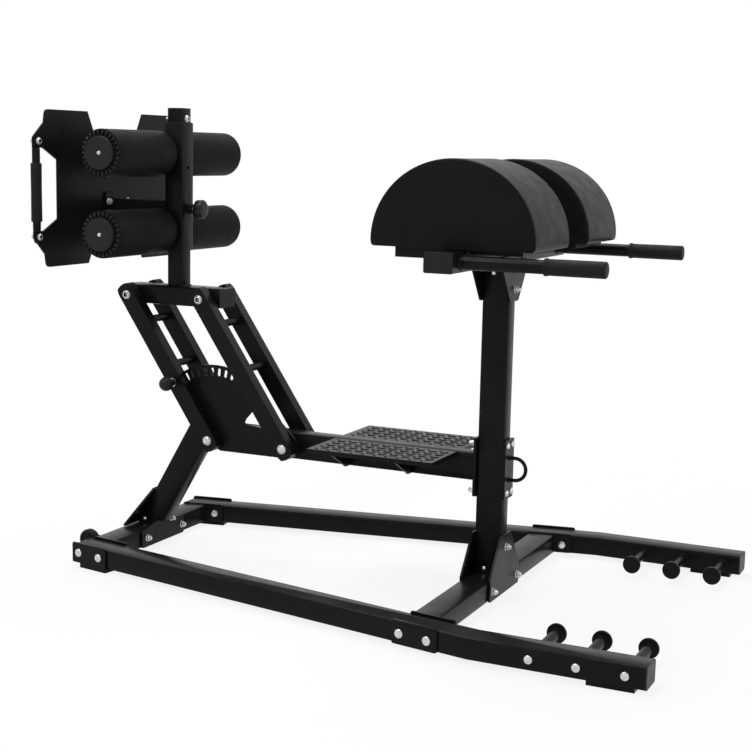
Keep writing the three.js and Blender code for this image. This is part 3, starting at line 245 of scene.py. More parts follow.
def lathe(bm, profile, place, segments=64):
    """Turns [radius, along] points about Z. A radius may be a function of the angle."""
    angles = [2 * math.pi * i / segments for i in range(segments)]
    rings = []
    for radius, along in profile:
        if not callable(radius) and radius < 1e-6:
            rings.append([bm.verts.new(place @ Vector((0, 0, along)))])
            continue
        ring = []
        for t in angles:
            r = radius(t) if callable(radius) else radius
            ring.append(bm.verts.new(place @ Vector((r * math.cos(t), r * math.sin(t), along))))
        rings.append(ring)
    for a, b in zip(rings, rings[1:]):
        for i in range(segments):
            j = (i + 1) % segments
            corners = dict.fromkeys((a[i % len(a)], a[j % len(a)], b[j % len(b)], b[i % len(b)]))
            if len(corners) > 2:
                bm.faces.new(list(corners))


def hexagon(flat):
    """Distance from the middle of a hexagon to its side, by angle; flat is its half width."""
    sixth = math.pi / 3
    return lambda t: flat / math.cos(t % sixth - sixth / 2)


def loft(bm, rings):
    """Skins a row of equal rings of points in metres and closes both ends."""
    made = [[bm.verts.new(p) for p in ring] for ring in rings]
    count = len(made[0])
    for a, b in zip(made, made[1:]):
        for k in range(count):
            m = (k + 1) % count
            bm.faces.new((a[k], a[m], b[m], b[k]))
    bm.faces.new(reversed(made[0]))
    bm.faces.new(made[-1])


def sweep(bm, points, radius, segments, swell=None):
    """A round bar along a line of points in millimetres."""
    points = [Vector(p) for p in points]
    side = None
    rings = []
    for i, p in enumerate(points):
        along = (points[min(i + 1, len(points) - 1)] - points[max(i - 1, 0)]).normalized()
        if side is None:
            side = along.orthogonal().normalized()
        side = (side - along * side.dot(along)).normalized()
        other = along.cross(side)
        r = radius * (swell(i) if swell else 1)
        ring = []
        for k in range(segments):
            t = 2 * math.pi * k / segments
            ring.append((p + (side * math.cos(t) + other * math.sin(t)) * r) * MM)
        rings.append(ring)
    loft(bm, rings)


SMOOTH_BELOW = 32  # degrees: a smaller turn between two faces is shaded round
BEVEL_OVER = 38  # degrees: a larger turn is an edge that gets eased


def soften(target, width):
    edges = target.modifiers.new("edges", "BEVEL")
    edges.width = width * MM
    edges.segments = 2
    edges.limit_method = "ANGLE"
    edges.angle_limit = math.radians(BEVEL_OVER)
    edges.harden_normals = True


def piece(name, bm, finish, body, replaces=(), sharp=SMOOTH_BELOW, bevel=0.0):
    """Makes a mesh into a piece that rides on a body. Its finish is a material or a list of them."""
    bmesh.ops.recalc_face_normals(bm, faces=bm.faces)
    mesh = bpy.data.meshes.new(name)
    bm.to_mesh(mesh)
    bm.free()
    mesh.shade_smooth()
    mesh.set_sharp_from_angle(angle=math.radians(sharp))
    for material in finish if isinstance(finish, list) else [finish]:
        mesh.materials.append(material)
    made = bpy.data.objects.new(name, mesh)
    scene.collection.objects.link(made)
    if bevel:
        soften(made, bevel)
    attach(made, body)
    if replaces:
        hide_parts(*replaces)
    return made


def paint_recess_shade(bm, first):
    """Gives the faces from one number on the second material of their piece: the painted shade of a
    recess.
    """
    bm.faces.ensure_lookup_table()
    for face in bm.faces[first:]:
        face.material_index = 1


# Places from the CAD frame, in millimetres
def low_high(node):
    low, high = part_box(node)
    return low / MM, high / MM


def middle(node):
    low, high = low_high(node)
    return (low + high) / 2


# Small hardware, drawn outwards from the face that it sits on
def dome_head(bm, at, direction, radius, height):
    """A smooth round bolt head."""
    rim, steps = 1.3, 8
    profile = [(0, -1), (radius, -1), (radius, rim * 0.6)]
    for k in range(steps):
        t = k / steps * math.pi / 2
        profile.append((radius * 0.985 * math.cos(t), rim + height * math.sin(t)))
    lathe(bm, profile + [(0, rim + height)], aim(at, direction), 40)


def washer(bm, at, direction, radius, thick):
    profile = fillet([(0, -0.5), (radius, -0.5), (radius, thick, 0.5), (0, thick)], 2)
    lathe(bm, profile, aim(at, direction), 40)


def socket_head(bm, at, direction, radius, height, key, spin):
    """A low round head on a washer, with a hexagon socket whose inside is painted shade, on the second
    material.
    """
    base, edge, steps = 1.2, 1.2, 7
    washer(bm, at, direction, radius + 1.6, base)
    place = aim(at, direction, spin)
    rim = key * 1.25
    profile = [(0, 0), (radius, base), (radius, base + edge)]
    for k in range(1, steps + 1):
        t = k / steps * math.pi / 2
        profile.append((rim + (radius - rim) * math.cos(t), base + edge + (height - edge) * math.sin(t)))
    top = base + height
    lathe(bm, profile + [(hexagon(key), top - 0.4)], place, 48)
    outside = len(bm.faces)
    # the socket's inside takes the painted shade
    lathe(bm, [(hexagon(key), top - 0.4), (hexagon(key), top - 3.6), (0, top - 4.0)], place, 48)
    paint_recess_shade(bm, outside)


def nut(bm, at, direction, flat, spin, tail):
    """A locking nut on a washer, with the bolt's end standing out."""
    washer(bm, at, direction, flat + 2.6, 1.6)
    body = [(0, 1.0), (flat * 1.02, 1.6), (hexagon(flat), 2.4), (hexagon(flat), 7.6), (flat * 0.98, 8.3)]
    collar = [(flat * 0.86, 8.4), (flat * 0.84, 10.6), (flat * 0.74, 11.4), (5.2, 11.4), (5.2, 11.0)]
    end = [(4.9, 11.0), (4.9, 11.4 + tail - 0.8), (4.1, 11.4 + tail), (0, 11.4 + tail)]
    lathe(bm, body + collar + end, aim(at, direction, spin), 48)


# Pivot bolts: plain domes at the low pivots, socket heads at the high ones
PIVOT_BODY = {"low_rear": "frame", "low_front": "frame", "high_rear": "carriage", "high_front": "carriage"}
SHANK_R = 8.0
SHANK_INSET = 4.0  # the shank ends inside its heads
HEAD_INSET = 6.5  # from a pin's end back to the face that its head sits on

for name, body in PIVOT_BODY.items():
    pin = f"pivot_pin_{name}"
    at = middle(pin)
    low, high = low_high(pin)
    start, stop = low.y + SHANK_INSET, high.y - SHANK_INSET
    bm = bmesh.new()
    lathe(bm, [(0, start), (SHANK_R, start), (SHANK_R, stop), (0, stop)], outwards(at, 1), 40)
    for sign in SIDES.values():
        out = Y * sign
        spot = Vector((at.x, sign * (high.y - HEAD_INSET), at.z))
        if name.startswith("low"):
            washer(bm, spot, out, 13.4, 1.2)
            dome_head(bm, spot + out * 0.9, out, 12.0, 4.2)
        else:
            socket_head(bm, spot, out, 11.0, 5.2, 6.0, 0.3)
    piece(f"pivot_bolt_{name}", bm, ZINC_WITH_SHADED_RECESSES, body, [pin])

# Rollers: foam tubes with ribbed end caps
ROLLER_R = 65.0
ROLLER_IN, ROLLER_END = 33.0, 326.0  # from the middle plane
FOAM_BORE = 17.0
CAP_R = 61.5
GROOVE_FLOOR = ROLLER_END - 10  # the groove round the cap's disc, where the ribs stand
CAP_RIBS = 26
RIB = (  # distance from the axle, half width and rise
    (47.5, 2.6, 4.2),
    (50.5, 3.3, 6.6),
    (55.0, 3.7, 7.6),
    (59.0, 4.0, 7.2),
    (61.2, 3.9, 5.2),
)


def rib_section(radius, width, rise):
    """A section across one round-backed rib."""
    foot = GROOVE_FLOOR - 1
    ring = [Vector((radius, width, foot)), Vector((radius, -width, foot))]
    for k in range(1, 8):
        t = math.pi * k / 8
        ring.append(Vector((radius, -width * math.cos(t), GROOVE_FLOOR + rise * math.sin(t))))
    return ring


def roller(node, sign):
    place = outwards(middle(node), sign)
    bm = bmesh.new()
    line = fillet([
        (FOAM_BORE, ROLLER_IN + 3),
        (ROLLER_R, ROLLER_IN, 9),
        (ROLLER_R, 150),
        (ROLLER_R, 250),
        (ROLLER_R, ROLLER_END - 6, 4.2),
        (CAP_R, ROLLER_END - 6),
        (CAP_R, ROLLER_END - 18),
        (FOAM_BORE, ROLLER_END - 18),
        (FOAM_BORE, ROLLER_IN + 3),
    ], 8)
    lathe(bm, line, place, 96)
    piece(node + "_foam", bm, FOAM, node, [node])
    bm = bmesh.new()
    line = fillet([
        (0, ROLLER_END - 17.8),
        (CAP_R - 0.2, ROLLER_END - 17.8),
        (CAP_R - 0.2, GROOVE_FLOOR + 1.5, 1.4),
        (52.0, GROOVE_FLOOR, 1.0),
        (46.2, GROOVE_FLOOR, 1.2),
        (45.0, ROLLER_END + 3.4, 2.4),
        (30.0, ROLLER_END + 3.8),
        (8.5, ROLLER_END + 3.8, 0.6),
        (8.0, ROLLER_END + 2.2, 0.5),
        (0, ROLLER_END + 2.2),
    ])
    lathe(bm, line, place, 96)
    for i in range(CAP_RIBS):
        spun = place @ Matrix.Rotation(2 * math.pi * i / CAP_RIBS, 4, "Z")
        loft(bm, [[spun @ p for p in rib_section(*section)] for section in RIB])
    piece(node + "_cap", bm, BLACK_PLASTIC, node)


for level in LEVELS:
    for side, sign in SIDES.items():
        roller(f"roller_{level}_{side}", sign)

# On the axles: small bolts at the roller hubs, and bushes between the sleeve and the foam
AXLES = [middle(f"roller_{level}_near") for level in LEVELS]
HUB_BOLT = [(0, -2), (5.6, -2), (5.6, 0.5), (hexagon(4.6), 0.6), (hexagon(4.6), 3.2), (4.3, 3.8), (0, 4.0)]
BUSH = fillet([(16.2, 29.0), (25.0, 29.0, 1), (25.0, 32.6, 1), (16.2, 32.6)], 2)
hub_bolts, bushes = bmesh.new(), bmesh.new()
for at in AXLES:
    for sign in SIDES.values():
        spot = Vector((at.x, sign * (ROLLER_END + 1.9), at.z))
        lathe(hub_bolts, HUB_BOLT, aim(spot, Y * sign, 0.4), 36)
        lathe(bushes, BUSH + BUSH[:1], outwards(at, sign), 48)
piece("roller_axle_bolts", hub_bolts, ZINC, "roller_sleeve")
piece("roller_bushes", bushes, BLACK_PLASTIC, "roller_sleeve")

# Hip pads: a tight vinyl cover over foam, sewn round the rim of each side panel
PAD_HALF, PAD_RISE = 215.0, 202.0  # half axes of the round top, at its two rims
PAD_LIFT = 15.0  # middle of the round top above the base
PAD_BACK = 2.5  # the cover sits a little behind the middle of its board
RIM = 5.0  # rounding of the rim
SWELL, TOP_SWELL = 6.0, 4.5  # how far a side panel and the round top may bulge
TOP_GUESS = 3  # bulge of the round top where there is no pumped cover
TOP_WAVES = ((0.022, 0.45), (0.06, 0.15))  # scale and height of the unevenness of the top
PANEL_MID = 92.0  # height of the middle of a side panel
pad_low, pad_high = low_high("hip_pad_near")
PANEL = (pad_high.y - pad_low.y) / 2 - SWELL  # side panels, from the pad's middle
FLAT = PANEL - RIM  # half width of the round top between its rims
FREE_HEIGHT, FREE_WIDTH = 30, 10  # distance from base and rim over which the top comes free
PANEL_SHARES = (0.04, 0.12, 0.24, 0.38, 0.52, 0.66, 0.78, 0.88, 0.95)  # rings of a side panel
RIM_TURNS = ((90, 0), (70, 0), (54, 0), (45, 1.1), (36, 0), (20, 0))  # degrees, depth of the seam
STITCH_PITCH, STITCH_LONG, STITCH_R = 5.2, 3.4, 0.45
STITCH_GAP = 4  # from the edge of the round top to the stitches

# The plain cover that the cloth solver fills with air
VOXEL = 6.0
PRESSURE = 4
LAST_FRAME = 20
HELD_WIDTH, HELD_SHARE, HELD_HEIGHT = 6, 0.97, 4  # what is held: the rims, and the base


def top_line(turn, inset=0.0):
    """A point [x, z] of the round top at one turn from +X, from the middle of the pad's base."""
    return (PAD_HALF - inset) * math.cos(turn), PAD_LIFT + (PAD_RISE - inset) * math.sin(turn)


def pad_outline(inset):
    """The outline of a pad at one place across its width, as [x, z] from the middle of its base."""
    arc_steps, base_steps = 96, 40
    line = [top_line(math.pi * k / arc_steps, inset) for k in range(arc_steps + 1)]
    half = PAD_HALF - inset
    corner = [(half - 9.0, 0.0), (half - 3.5, 2.0), (half - 1.0, 8.0)]
    run = half - 16.0
    line += [(-x, z) for x, z in reversed(corner)]
    line += [(run * (2 * k / base_steps - 1), 0.0) for k in range(base_steps + 1)]
    return line + corner


def pumped_cover():
    """Fills a plain closed cover with air in the cloth solver, held at its rims and base."""
    bm = bmesh.new()
    steps = 12
    loft(bm, [
        [Vector((x, -PANEL + 2 * PANEL * k / steps, z)) * MM for x, z in pad_outline(0)]
        for k in range(steps + 1)
    ])
    bmesh.ops.recalc_face_normals(bm, faces=bm.faces)
    mesh = bpy.data.meshes.new("cover")
    bm.to_mesh(mesh)
    bm.free()
    cover = bpy.data.objects.new("cover", mesh)
    scene.collection.objects.link(cover)
    voxels = cover.modifiers.new("voxels", "REMESH")
    voxels.mode = "VOXEL"
    voxels.voxel_size = VOXEL * MM
    graph = bpy.context.evaluated_depsgraph_get()
    cover.data = bpy.data.meshes.new_from_object(cover.evaluated_get(graph))
    cover.modifiers.clear()
    held = cover.vertex_groups.new(name="held")
    for v in cover.data.vertices:
        at = v.co / MM
        share = math.hypot(at.x / PAD_HALF, max(at.z - PAD_LIFT, 0) / PAD_RISE)
        at_rim = abs(at.y) > PANEL - HELD_WIDTH and share > HELD_SHARE
        if at_rim or at.z < HELD_HEIGHT:
            held.add([v.index], 1.0, "REPLACE")
    cloth = cover.modifiers.new("cloth", "CLOTH")
    cloth.settings.use_pressure = True
    cloth.settings.uniform_pressure_force = PRESSURE
    cloth.settings.vertex_group_mass = "held"
    cloth.settings.effector_weights.gravity = 0
    cloth.point_cache.frame_end = LAST_FRAME
    for step in range(1, LAST_FRAME + 1):
        scene.frame_set(step)
    graph = bpy.context.evaluated_depsgraph_get()
    pumped = [v.co.copy() for v in cover.evaluated_get(graph).data.vertices]
    spots = []
    cap = SWELL * MM
    for v, moved in zip(cover.data.vertices, pumped):
        way = moved - v.co
        far = way.length
        spots.append(v.co + way * (cap * math.tanh(far / cap) / far if far > 1e-9 else 0))
    surface = BVHTree.FromPolygons(spots, [list(f.vertices) for f in cover.data.polygons])
    scene.frame_set(1)
    bpy.data.objects.remove(cover)
    return surface


COVER = pumped_cover()


def stands_out(at, direction, guess):
    """How far the pumped cover lies outside a point of the plain one, in millimetres."""
    if COVER is None:
        return guess
    inside = 25
    hit, _, _, far = COVER.ray_cast((at - direction * inside) * MM, direction)
    return far / MM - inside if hit else guess


def top_point(x, y, z, inset=0.0):
    """A point of the round top, where the cover is full away from the rims and the base."""
    radial = Vector((x, 0, z - PAD_LIFT)).normalized()
    at = Vector((x, y, z))
    free = min(max(z / FREE_HEIGHT, 0), 1)
    loose = min(max((FLAT - abs(y)) / FREE_WIDTH, 0), 1)
    full = stands_out(at, radial, TOP_GUESS * (1 - (y / FLAT) ** 2)) * loose if free and loose else 0
    wave = sum(noise.noise(at * scale) * height for scale, height in TOP_WAVES)
    return at + radial * (min(full, TOP_SWELL) + wave * loose - inset) * free


def panel_point(x, z, share):
    """A point of a side panel, at one share of the way from its middle to its rim."""
    at = Vector((x * share, -PANEL, PANEL_MID + (z - PANEL_MID) * share))
    bulge = stands_out(at, -Y, SWELL * (1 - share ** 2)) * min((1 - share) / 0.1, 1)
    return at - Y * min(bulge, SWELL)


def cover_rings():
    """The cover from the near panel to the far one, from the middle of the pad's base."""
    side = [[panel_point(x, z, share) for x, z in pad_outline(RIM)] for share in PANEL_SHARES]
    for turn, groove in RIM_TURNS:
        t = math.radians(turn)
        across = FLAT + (RIM - groove) * math.sin(t)
        inset = RIM - (RIM - groove) * math.cos(t)
        side.append([Vector((x, -across, z)) for x, z in pad_outline(inset)])
    top = []
    steps = 20
    for k in range(steps + 1):
        y = FLAT * (2 * k / steps - 1)
        top.append([top_point(x, y, z) if z > 0 else Vector((x, y, z)) for x, z in pad_outline(0)])
    return side + top + [[Vector((p.x, -p.y, p.z)) for p in ring] for ring in reversed(side)]


def hip_pad(node, rings):
    low, high = low_high(node)
    base = Vector(((low.x + high.x) / 2 - PAD_BACK, (low.y + high.y) / 2, low.z))
    bm = bmesh.new()
    loft(bm, [[(base + Vector((p.x, p.y, max(p.z, 0)))) * MM for p in ring] for ring in rings])
    piece(node + "_cover", bm, VINYL, "frame", [node], sharp=60)

    # a row of topstitching beside each seam
    bm = bmesh.new()
    count = int(math.pi * PAD_HALF / STITCH_PITCH)
    for y in (STITCH_GAP - FLAT, FLAT - STITCH_GAP):
        for k in range(2, count - 1):
            points = []
            for s in (-1, -0.6, 0, 0.6, 1):
                x, z = top_line(math.pi * (k + 0.5) / count + s * STITCH_LONG / 2 / PAD_HALF)
                points.append(base + top_point(x, y, z, 0.3 - 0.55 * (1 - s * s)))
            sweep(bm, points, STITCH_R, 5)
    piece(node + "_stitching", bm, STITCH, "frame")


both_covers = cover_rings()
for side in SIDES:
    hip_pad(f"hip_pad_{side}", both_covers)

# Handle bars and grips
HANDLE_R, HANDLE_BORE = 17.0, 14.5
HANDLE_WELD = [(17.2, 0.0), (20.5, 0.0), (19.4, 1.8), (17.0, 3.6), (17.2, 0.0)]
for side in SIDES:
    bar, grip = f"handle_bar_{side}", f"handle_grip_{side}"
    low, high = low_high(bar)
    at = middle(bar)
    long = high.x - low.x
    place = aim((low.x, at.y, at.z), X)
    bm = bmesh.new()
    line = [(HANDLE_BORE, 0), (HANDLE_R, 0), (HANDLE_R, long), (HANDLE_BORE, long), (HANDLE_BORE, 0)]
    lathe(bm, line, place)
    lathe(bm, HANDLE_WELD, place)
    piece(bar + "_tube", bm, POWDER, "frame", [bar])
    low, high = low_high(grip)
    long = high.x - low.x
    bm = bmesh.new()
    line = fillet([
        (17.2, 0.4),
        (21.4, 0.0, 1.2),
        (21.2, 7.0, 2.5),
        (19.6, 9.5, 2.5),
        (19.9, long * 0.5),
        (20.0, long - 1.0, 4.5),
        (0, long),
    ], 6)
    line += [(0, long - 4), (17.2, long - 4), (17.2, 0.4)]
    lathe(bm, line, aim((low.x, at.y, at.z), X), 72)
    piece(grip + "_sleeve", bm, RUBBER, "frame", [grip])

# Foot plate handles: a round bar whose ends are pressed flat and bolted behind the ear
FOOT_BAR_R = 11.0
PRESSED_HALF, PRESSED_SPREAD = 2.5, 2.0  # half thickness where pressed, and what it widens by
TIP = 8.0  # rounding of the pressed tips
# distance from an end, and how flat the bar is pressed there
PRESSED = ((0, 1.0), (3, 1.0), (8, 1.0), (18, 1.0), (24, 0.86), (30, 0.5), (36, 0.14), (44, 0.0))


def foot_bar_section(at, z, end, flat):
    """A section at a distance from the bar's end, from round (flat 0) to pressed (flat 1)."""
    tip = math.sqrt(max(1 - (1 - min(end / TIP, 1)) ** 2, 0.16)) if flat > 0.9 else 1
    rx = FOOT_BAR_R * (1 - flat) + PRESSED_HALF * flat
    ry = FOOT_BAR_R + PRESSED_SPREAD * flat
    power = 1 - 0.55 * flat
    ring = []
    for k in range(40):
        t = 2 * math.pi * k / 40
        cx = math.copysign(abs(math.cos(t)) ** power, math.cos(t))
        sy = math.copysign(abs(math.sin(t)) ** power, math.sin(t))
        ring.append(Vector((at.x + rx * cx, at.y + ry * sy * tip, z)) * MM)
    return ring


for side in SIDES:
    node, grip = f"foot_handle_{side}", f"foot_grip_{side}"
    low, high = low_high(node)
    at = middle(node)
    bm = bmesh.new()
    rings = [foot_bar_section(at, low.z + end, end, flat) for end, flat in PRESSED]
    rings += [foot_bar_section(at, high.z - end, end, flat) for end, flat in reversed(PRESSED)]
    loft(bm, rings)
    piece(node + "_bar", bm, POWDER, "roller_sleeve", [node], sharp=50)
    low, high = low_high(grip)
    long = high.z - low.z
    bm = bmesh.new()
    line = fillet([
        (11.2, 0),
        (15.2, 0, 2.6),
        (14.8, long / 2),
        (15.2, long, 2.6),
        (11.2, long),
        (11.2, 0),
    ], 5)
    lathe(bm, line, aim((at.x, at.y, low.z), Z), 56)
    piece(grip + "_sleeve", bm, RUBBER, "roller_sleeve", [grip])

# Band pegs
PEG_R, PEG_DISC, PEG_FOOT = 12.5, 25.0, 17.0
for side, sign in SIDES.items():
    for i in (1, 2, 3):
        node = f"band_peg_{i}_{side}"
        low, high = low_high(node)
        tip, root = sorted((abs(low.y), abs(high.y)))
        bm = bmesh.new()
        line = fillet([
            (0, tip),
            (PEG_DISC, tip, 3.0),
            (PEG_DISC, tip + 9.5, 1.6),
            (PEG_R, tip + 10.5, 2.2),
            (PEG_R, root - 6),
            (PEG_FOOT, root - 5, 1.5),
            (PEG_FOOT, root),
            (0, root),
        ], 5)
        lathe(bm, line, outwards(middle(node), sign))
        piece(node + "_turned", bm, POWDER, "frame", [node])

# Wheels: one side of the outline, which the other mirrors
WHEEL = [(6.5, 12), (12, 12, 1), (13, 9, 1), (20, 9, 1), (21, 12, 1), (25, 12, 2), (30, 8, 4)]
for side in SIDES:
    node = f"wheel_{side}"
    line = [(r, -z, *rounding) for r, z, *rounding in WHEEL] + WHEEL[::-1] + [(6.5, -12)]
    bm = bmesh.new()
    lathe(bm, fillet(line), aim(middle(node), Y), 72)
    piece(node + "_tyre", bm, RUBBER, node, [node])

# Link plunger: stem and ball knob, and the bright ring of its barrel, with painted shade in the well
# inside the ring
BAR_FACE = 88.0  # outer face of a link bar
COLLAR = BAR_FACE + 12  # end of the barrel
BALL = 20.5
BALL_BACK = 19.0  # from the CAD node's outer end to the ball's middle
STEM_R = 7
low, high = low_high("link_plunger")
place = outwards(middle("link_plunger"), -1)
nose, stem, knob = -high.y, COLLAR + 0.5, -low.y - BALL_BACK
line = [(0, nose), (3.6, nose), (4.8, nose + 1.6), (4.8, stem), (STEM_R, stem), (STEM_R, stem + 8)]
neck = math.asin(STEM_R / BALL)
for k in range(1, 17):
    t = neck + (math.pi - neck) * k / 16
    line.append((BALL * math.sin(t) if k < 16 else 0, knob - BALL * math.cos(t)))
bm = bmesh.new()
lathe(bm, line, place, 56)
piece("link_plunger_knob", bm, BLACK_PLASTIC, "link_plunger", ["link_plunger"])
bm = bmesh.new()
foot, lip, well = COLLAR - 1, COLLAR + 0.4, COLLAR - 0.4
lathe(bm, fillet([(9.6, foot), (12.6, foot), (12.6, lip, 0.4), (9.6, lip), (9.6, foot)], 2), place, 48)
outside = len(bm.faces)
# the well round the stem takes the painted shade
lathe(bm, [(5.3, foot), (9.7, foot), (9.7, well), (5.3, well), (5.3, foot)], place, 48)
paint_recess_shade(bm, outside)
piece("link_plunger_ring", bm, ZINC_WITH_SHADED_RECESSES, "rear_links")

# Pop pin: fluted knob on a bright neck
FLUTES = 8
NECK = 8.0  # length of the bright neck between the boss and the knob
KNOB_BACK = 21  # from the CAD node's outer end to the knob's start
KNOB = (  # radius, depth of a flute, and distance from the knob's start
    (20.5, 0.4, 2.5),
    (25.0, 1.0, 5),
    (27.4, 1.8, 9),
    (28.0, 2.4, 14),
    (28.0, 2.4, 20),
    (27.0, 1.8, 24),
    (24.5, 1.0, 27.5),
)


def fluted(radius, depth):
    return lambda t: radius - depth * (0.5 + 0.5 * math.cos(FLUTES * t)) ** 2


low, high = low_high("pop_pin")
at = middle("pop_pin")
place = aim((0, at.y, at.z), X)
start = high.x - KNOB_BACK
line = [(0, start - 0.2), (10.0, start - 0.2), (14.5, start + 1.0)]
line += [(fluted(radius, depth), start + along) for radius, depth, along in KNOB]
line += [(20.0, start + 29.4), (13.0, start + 30.2), (0, start + 30.2)]
bm = bmesh.new()
lathe(bm, line, place, 96)
piece("pop_pin_knob", bm, BLACK_PLASTIC, "post_pin", ["pop_pin"])
line = [(0, low.x), (3.8, low.x), (5.0, low.x + 1.6), (5.0, start - NECK), (8.6, start - NECK)]
line += [(8.6, start - 3.2), (7.6, start - 2.6), (7.6, start + 0.3), (0, start + 0.3)]
bm = bmesh.new()
lathe(bm, line, place, 48)
piece("pop_pin_neck", bm, ZINC, "post_pin")

# Lift handle: a bent bar on its backing plate
LOOP = 30  # radius of the bend, and half the distance between the bar's ends
LOOP_BAR = 5.0
LOOP_WELD = [(4.8, 0.0), (8.2, 0.0), (7.4, 1.6), (5.2, 3.2), (4.8, 0.0)]
PLATE_THICK, PLATE_HALF, PLATE_CORNER = 8.0, 33, 6.0
low, high = low_high("lift_handle")
mid_z = (low.z + high.z) / 2
half_z = (high.z - low.z) / 2
plate_front = low.x + PLATE_THICK
legs = [plate_front - 3, plate_front + 6, plate_front + 16]
points = [(x, 0, mid_z + LOOP) for x in legs]
for k in range(1, 24):
    t = math.pi * k / 24
    points.append((legs[-1] + LOOP * math.sin(t), 0, mid_z + LOOP * math.cos(t)))
points += [(x, 0, mid_z - LOOP) for x in reversed(legs)]
bm = bmesh.new()
sweep(bm, points, LOOP_BAR, 24)
for z in (mid_z + LOOP, mid_z - LOOP):
    lathe(bm, LOOP_WELD, aim((plate_front, 0, z), X), 32)
outline = []
for a, b, first in ((1, 1, 0), (-1, 1, 90), (-1, -1, 180), (1, -1, 270)):
    corner_y, corner_z = a * (PLATE_HALF - PLATE_CORNER), b * (half_z - PLATE_CORNER)
    for k in range(5):
        t = math.radians(first + 90 * k / 4)
        outline.append((corner_y + PLATE_CORNER * math.cos(t), corner_z + PLATE_CORNER * math.sin(t)))
loft(bm, [[Vector((x, y, mid_z + z)) * MM for y, z in outline] for x in (low.x, plate_front)])
piece("lift_handle_loop", bm, POWDER, "frame", ["lift_handle"], bevel=0.7)

# Raised pattern of the step plates: marks that lean left and right in turn
PITCH = 34.0
MARK_LONG, MARK_WIDE = 13.6, 3.7  # half length and half width of a mark
MARK = ((1.0, -0.4), (1.0, 0.1), (0.82, 1.2), (0.5, 1.8))  # share of its outline, height


def mark(bm, x, y, z, lean):
    rings = []
    for share, rise in MARK:
        ring = []
        for k in range(16):
            t = 2 * math.pi * k / 16
            u = MARK_LONG * math.cos(t) * (0.35 + 0.65 * share)
            w = MARK_WIDE * math.sin(t) * share * (1 - 0.25 * math.cos(t) ** 2)
            ring.append(Vector((
                x + u * math.cos(lean) - w * math.sin(lean),
                y + u * math.sin(lean) + w * math.cos(lean),
                z + rise,
            )) * MM)
        rings.append(ring)
    loft(bm, rings)


for side in SIDES:
    low, high = low_high(f"tread_{side}")
    columns = int((high.x - low.x - 14) / PITCH * 2)
    rows = int((high.y - low.y - 10) / PITCH * 2)
    gap_x = (high.x - low.x - (columns - 1) * PITCH / 2) / 2
    gap_y = (high.y - low.y - (rows - 1) * PITCH / 2) / 2
    bm = bmesh.new()
    for i in range(columns):
        for j in range(i % 2, rows, 2):
            x = low.x + gap_x + i * PITCH / 2
            y = low.y + gap_y + j * PITCH / 2
            # a bare edge stays round the pattern
            if low.x + 13 < x < high.x - 13 and low.y + 12 < y < high.y - 11:
                mark(bm, x, y, high.z, math.radians(45 if i % 2 else -45))
    piece(f"tread_{side}_pattern", bm, POWDER, "frame", sharp=50)

# Bolts and welds of the frame, in millimetres from the middle of the machine
RAIL_HALF = 37.5
RAIL_BEND_X, RAIL_REAR_X = 479.25, -803.75
RAIL_FRONT_Y, RAIL_REAR_Y = 513.5, 281.0  # middle of a rail at its two ends
RAIL_SLOPE = (RAIL_FRONT_Y - RAIL_REAR_Y) / (RAIL_BEND_X - RAIL_REAR_X)
RAIL_TURN = math.atan(RAIL_SLOPE)
JOINT_FACE = RAIL_HALF + 0.3 + 6  # outer face of a joint plate, square to the rail's middle
BESIDE = JOINT_FACE / math.cos(RAIL_TURN)  # the same, measured along Y
BASE_Z = middle("rail_cap_near").z
RAIL_BOLTS = ((-787.5, 42), (-711.5, 40), (292.5, 37.5), (370.5, 36))  # x, z
PEG_X = (629.25, 742.75, 856.25)
LOW_GUSSET_BOLTS = ((-93, 37), (93, 37), (0, 137))  # y, z
HIGH_GUSSET_BOLTS = ((-66, 902), (66, 902), (0, 832))
POST_SIDE_BOLTS = (75, 876)  # z
TOE_FACE = -718.75
TOE_BOLTS = ((-86, 38, 8.0), (100, 38, 8.0), (42, 70, 6.6))  # y, z, half width of the nut
TRAY_BOLT_Y = 104
TRAY_THICK = 3.1  # from a pad tray's top to the face that its bolts sit on


def rail_middle(x):
    return RAIL_FRONT_Y - max(RAIL_BEND_X - x, 0) * RAIL_SLOPE


bolts = bmesh.new()
for sign in SIDES.values():
    outward = Vector((-math.sin(RAIL_TURN), math.cos(RAIL_TURN) * sign, 0))
    for x, z in RAIL_BOLTS:
        at = Vector((x, sign * (rail_middle(x) + BESIDE), z))
        dome_head(bolts, at, outward, 12.0, 5.4)
        nut(bolts, at - outward * 2 * JOINT_FACE, -outward, 8.0, x, 2.5)
    for x in PEG_X:
        dome_head(bolts, (x, sign * (RAIL_FRONT_Y + RAIL_HALF), BASE_Z), Y * sign, 11.0, 5.2)

# gussets at the foot of the post and of the strut, and at the top of the post
post_low, post_high = low_high("pad_post")
front = low_high("post_gusset_low_front")[1].x
rear = low_high("post_gusset_low_rear")[0].x
for y, z in LOW_GUSSET_BOLTS:
    nut(bolts, (front, y, z), X, 8.0, 0.3 + y, 3.5)
    dome_head(bolts, (rear, y, z), -X, 10.5, 5.0)
for y, z in HIGH_GUSSET_BOLTS:
    nut(bolts, (front, y, z), X, 7.6, 0.5 + y, 3.0)
    dome_head(bolts, (rear, y, z), -X, 10.0, 4.8)
for z in POST_SIDE_BOLTS:
    for sign in SIDES.values():
        dome_head(bolts, ((post_low.x + post_high.x) / 2 - 8, sign * post_high.y, z), Y * sign, 8.5, 4.4)
for y, z, flat in TOE_BOLTS:
    nut(bolts, (TOE_FACE, y, z), X, flat, 0.2 + y, 3.0)
for sign in SIDES.values():
    dome_head(bolts, (-770, sign * 25, 76), Y * sign, 8.5, 4.6)

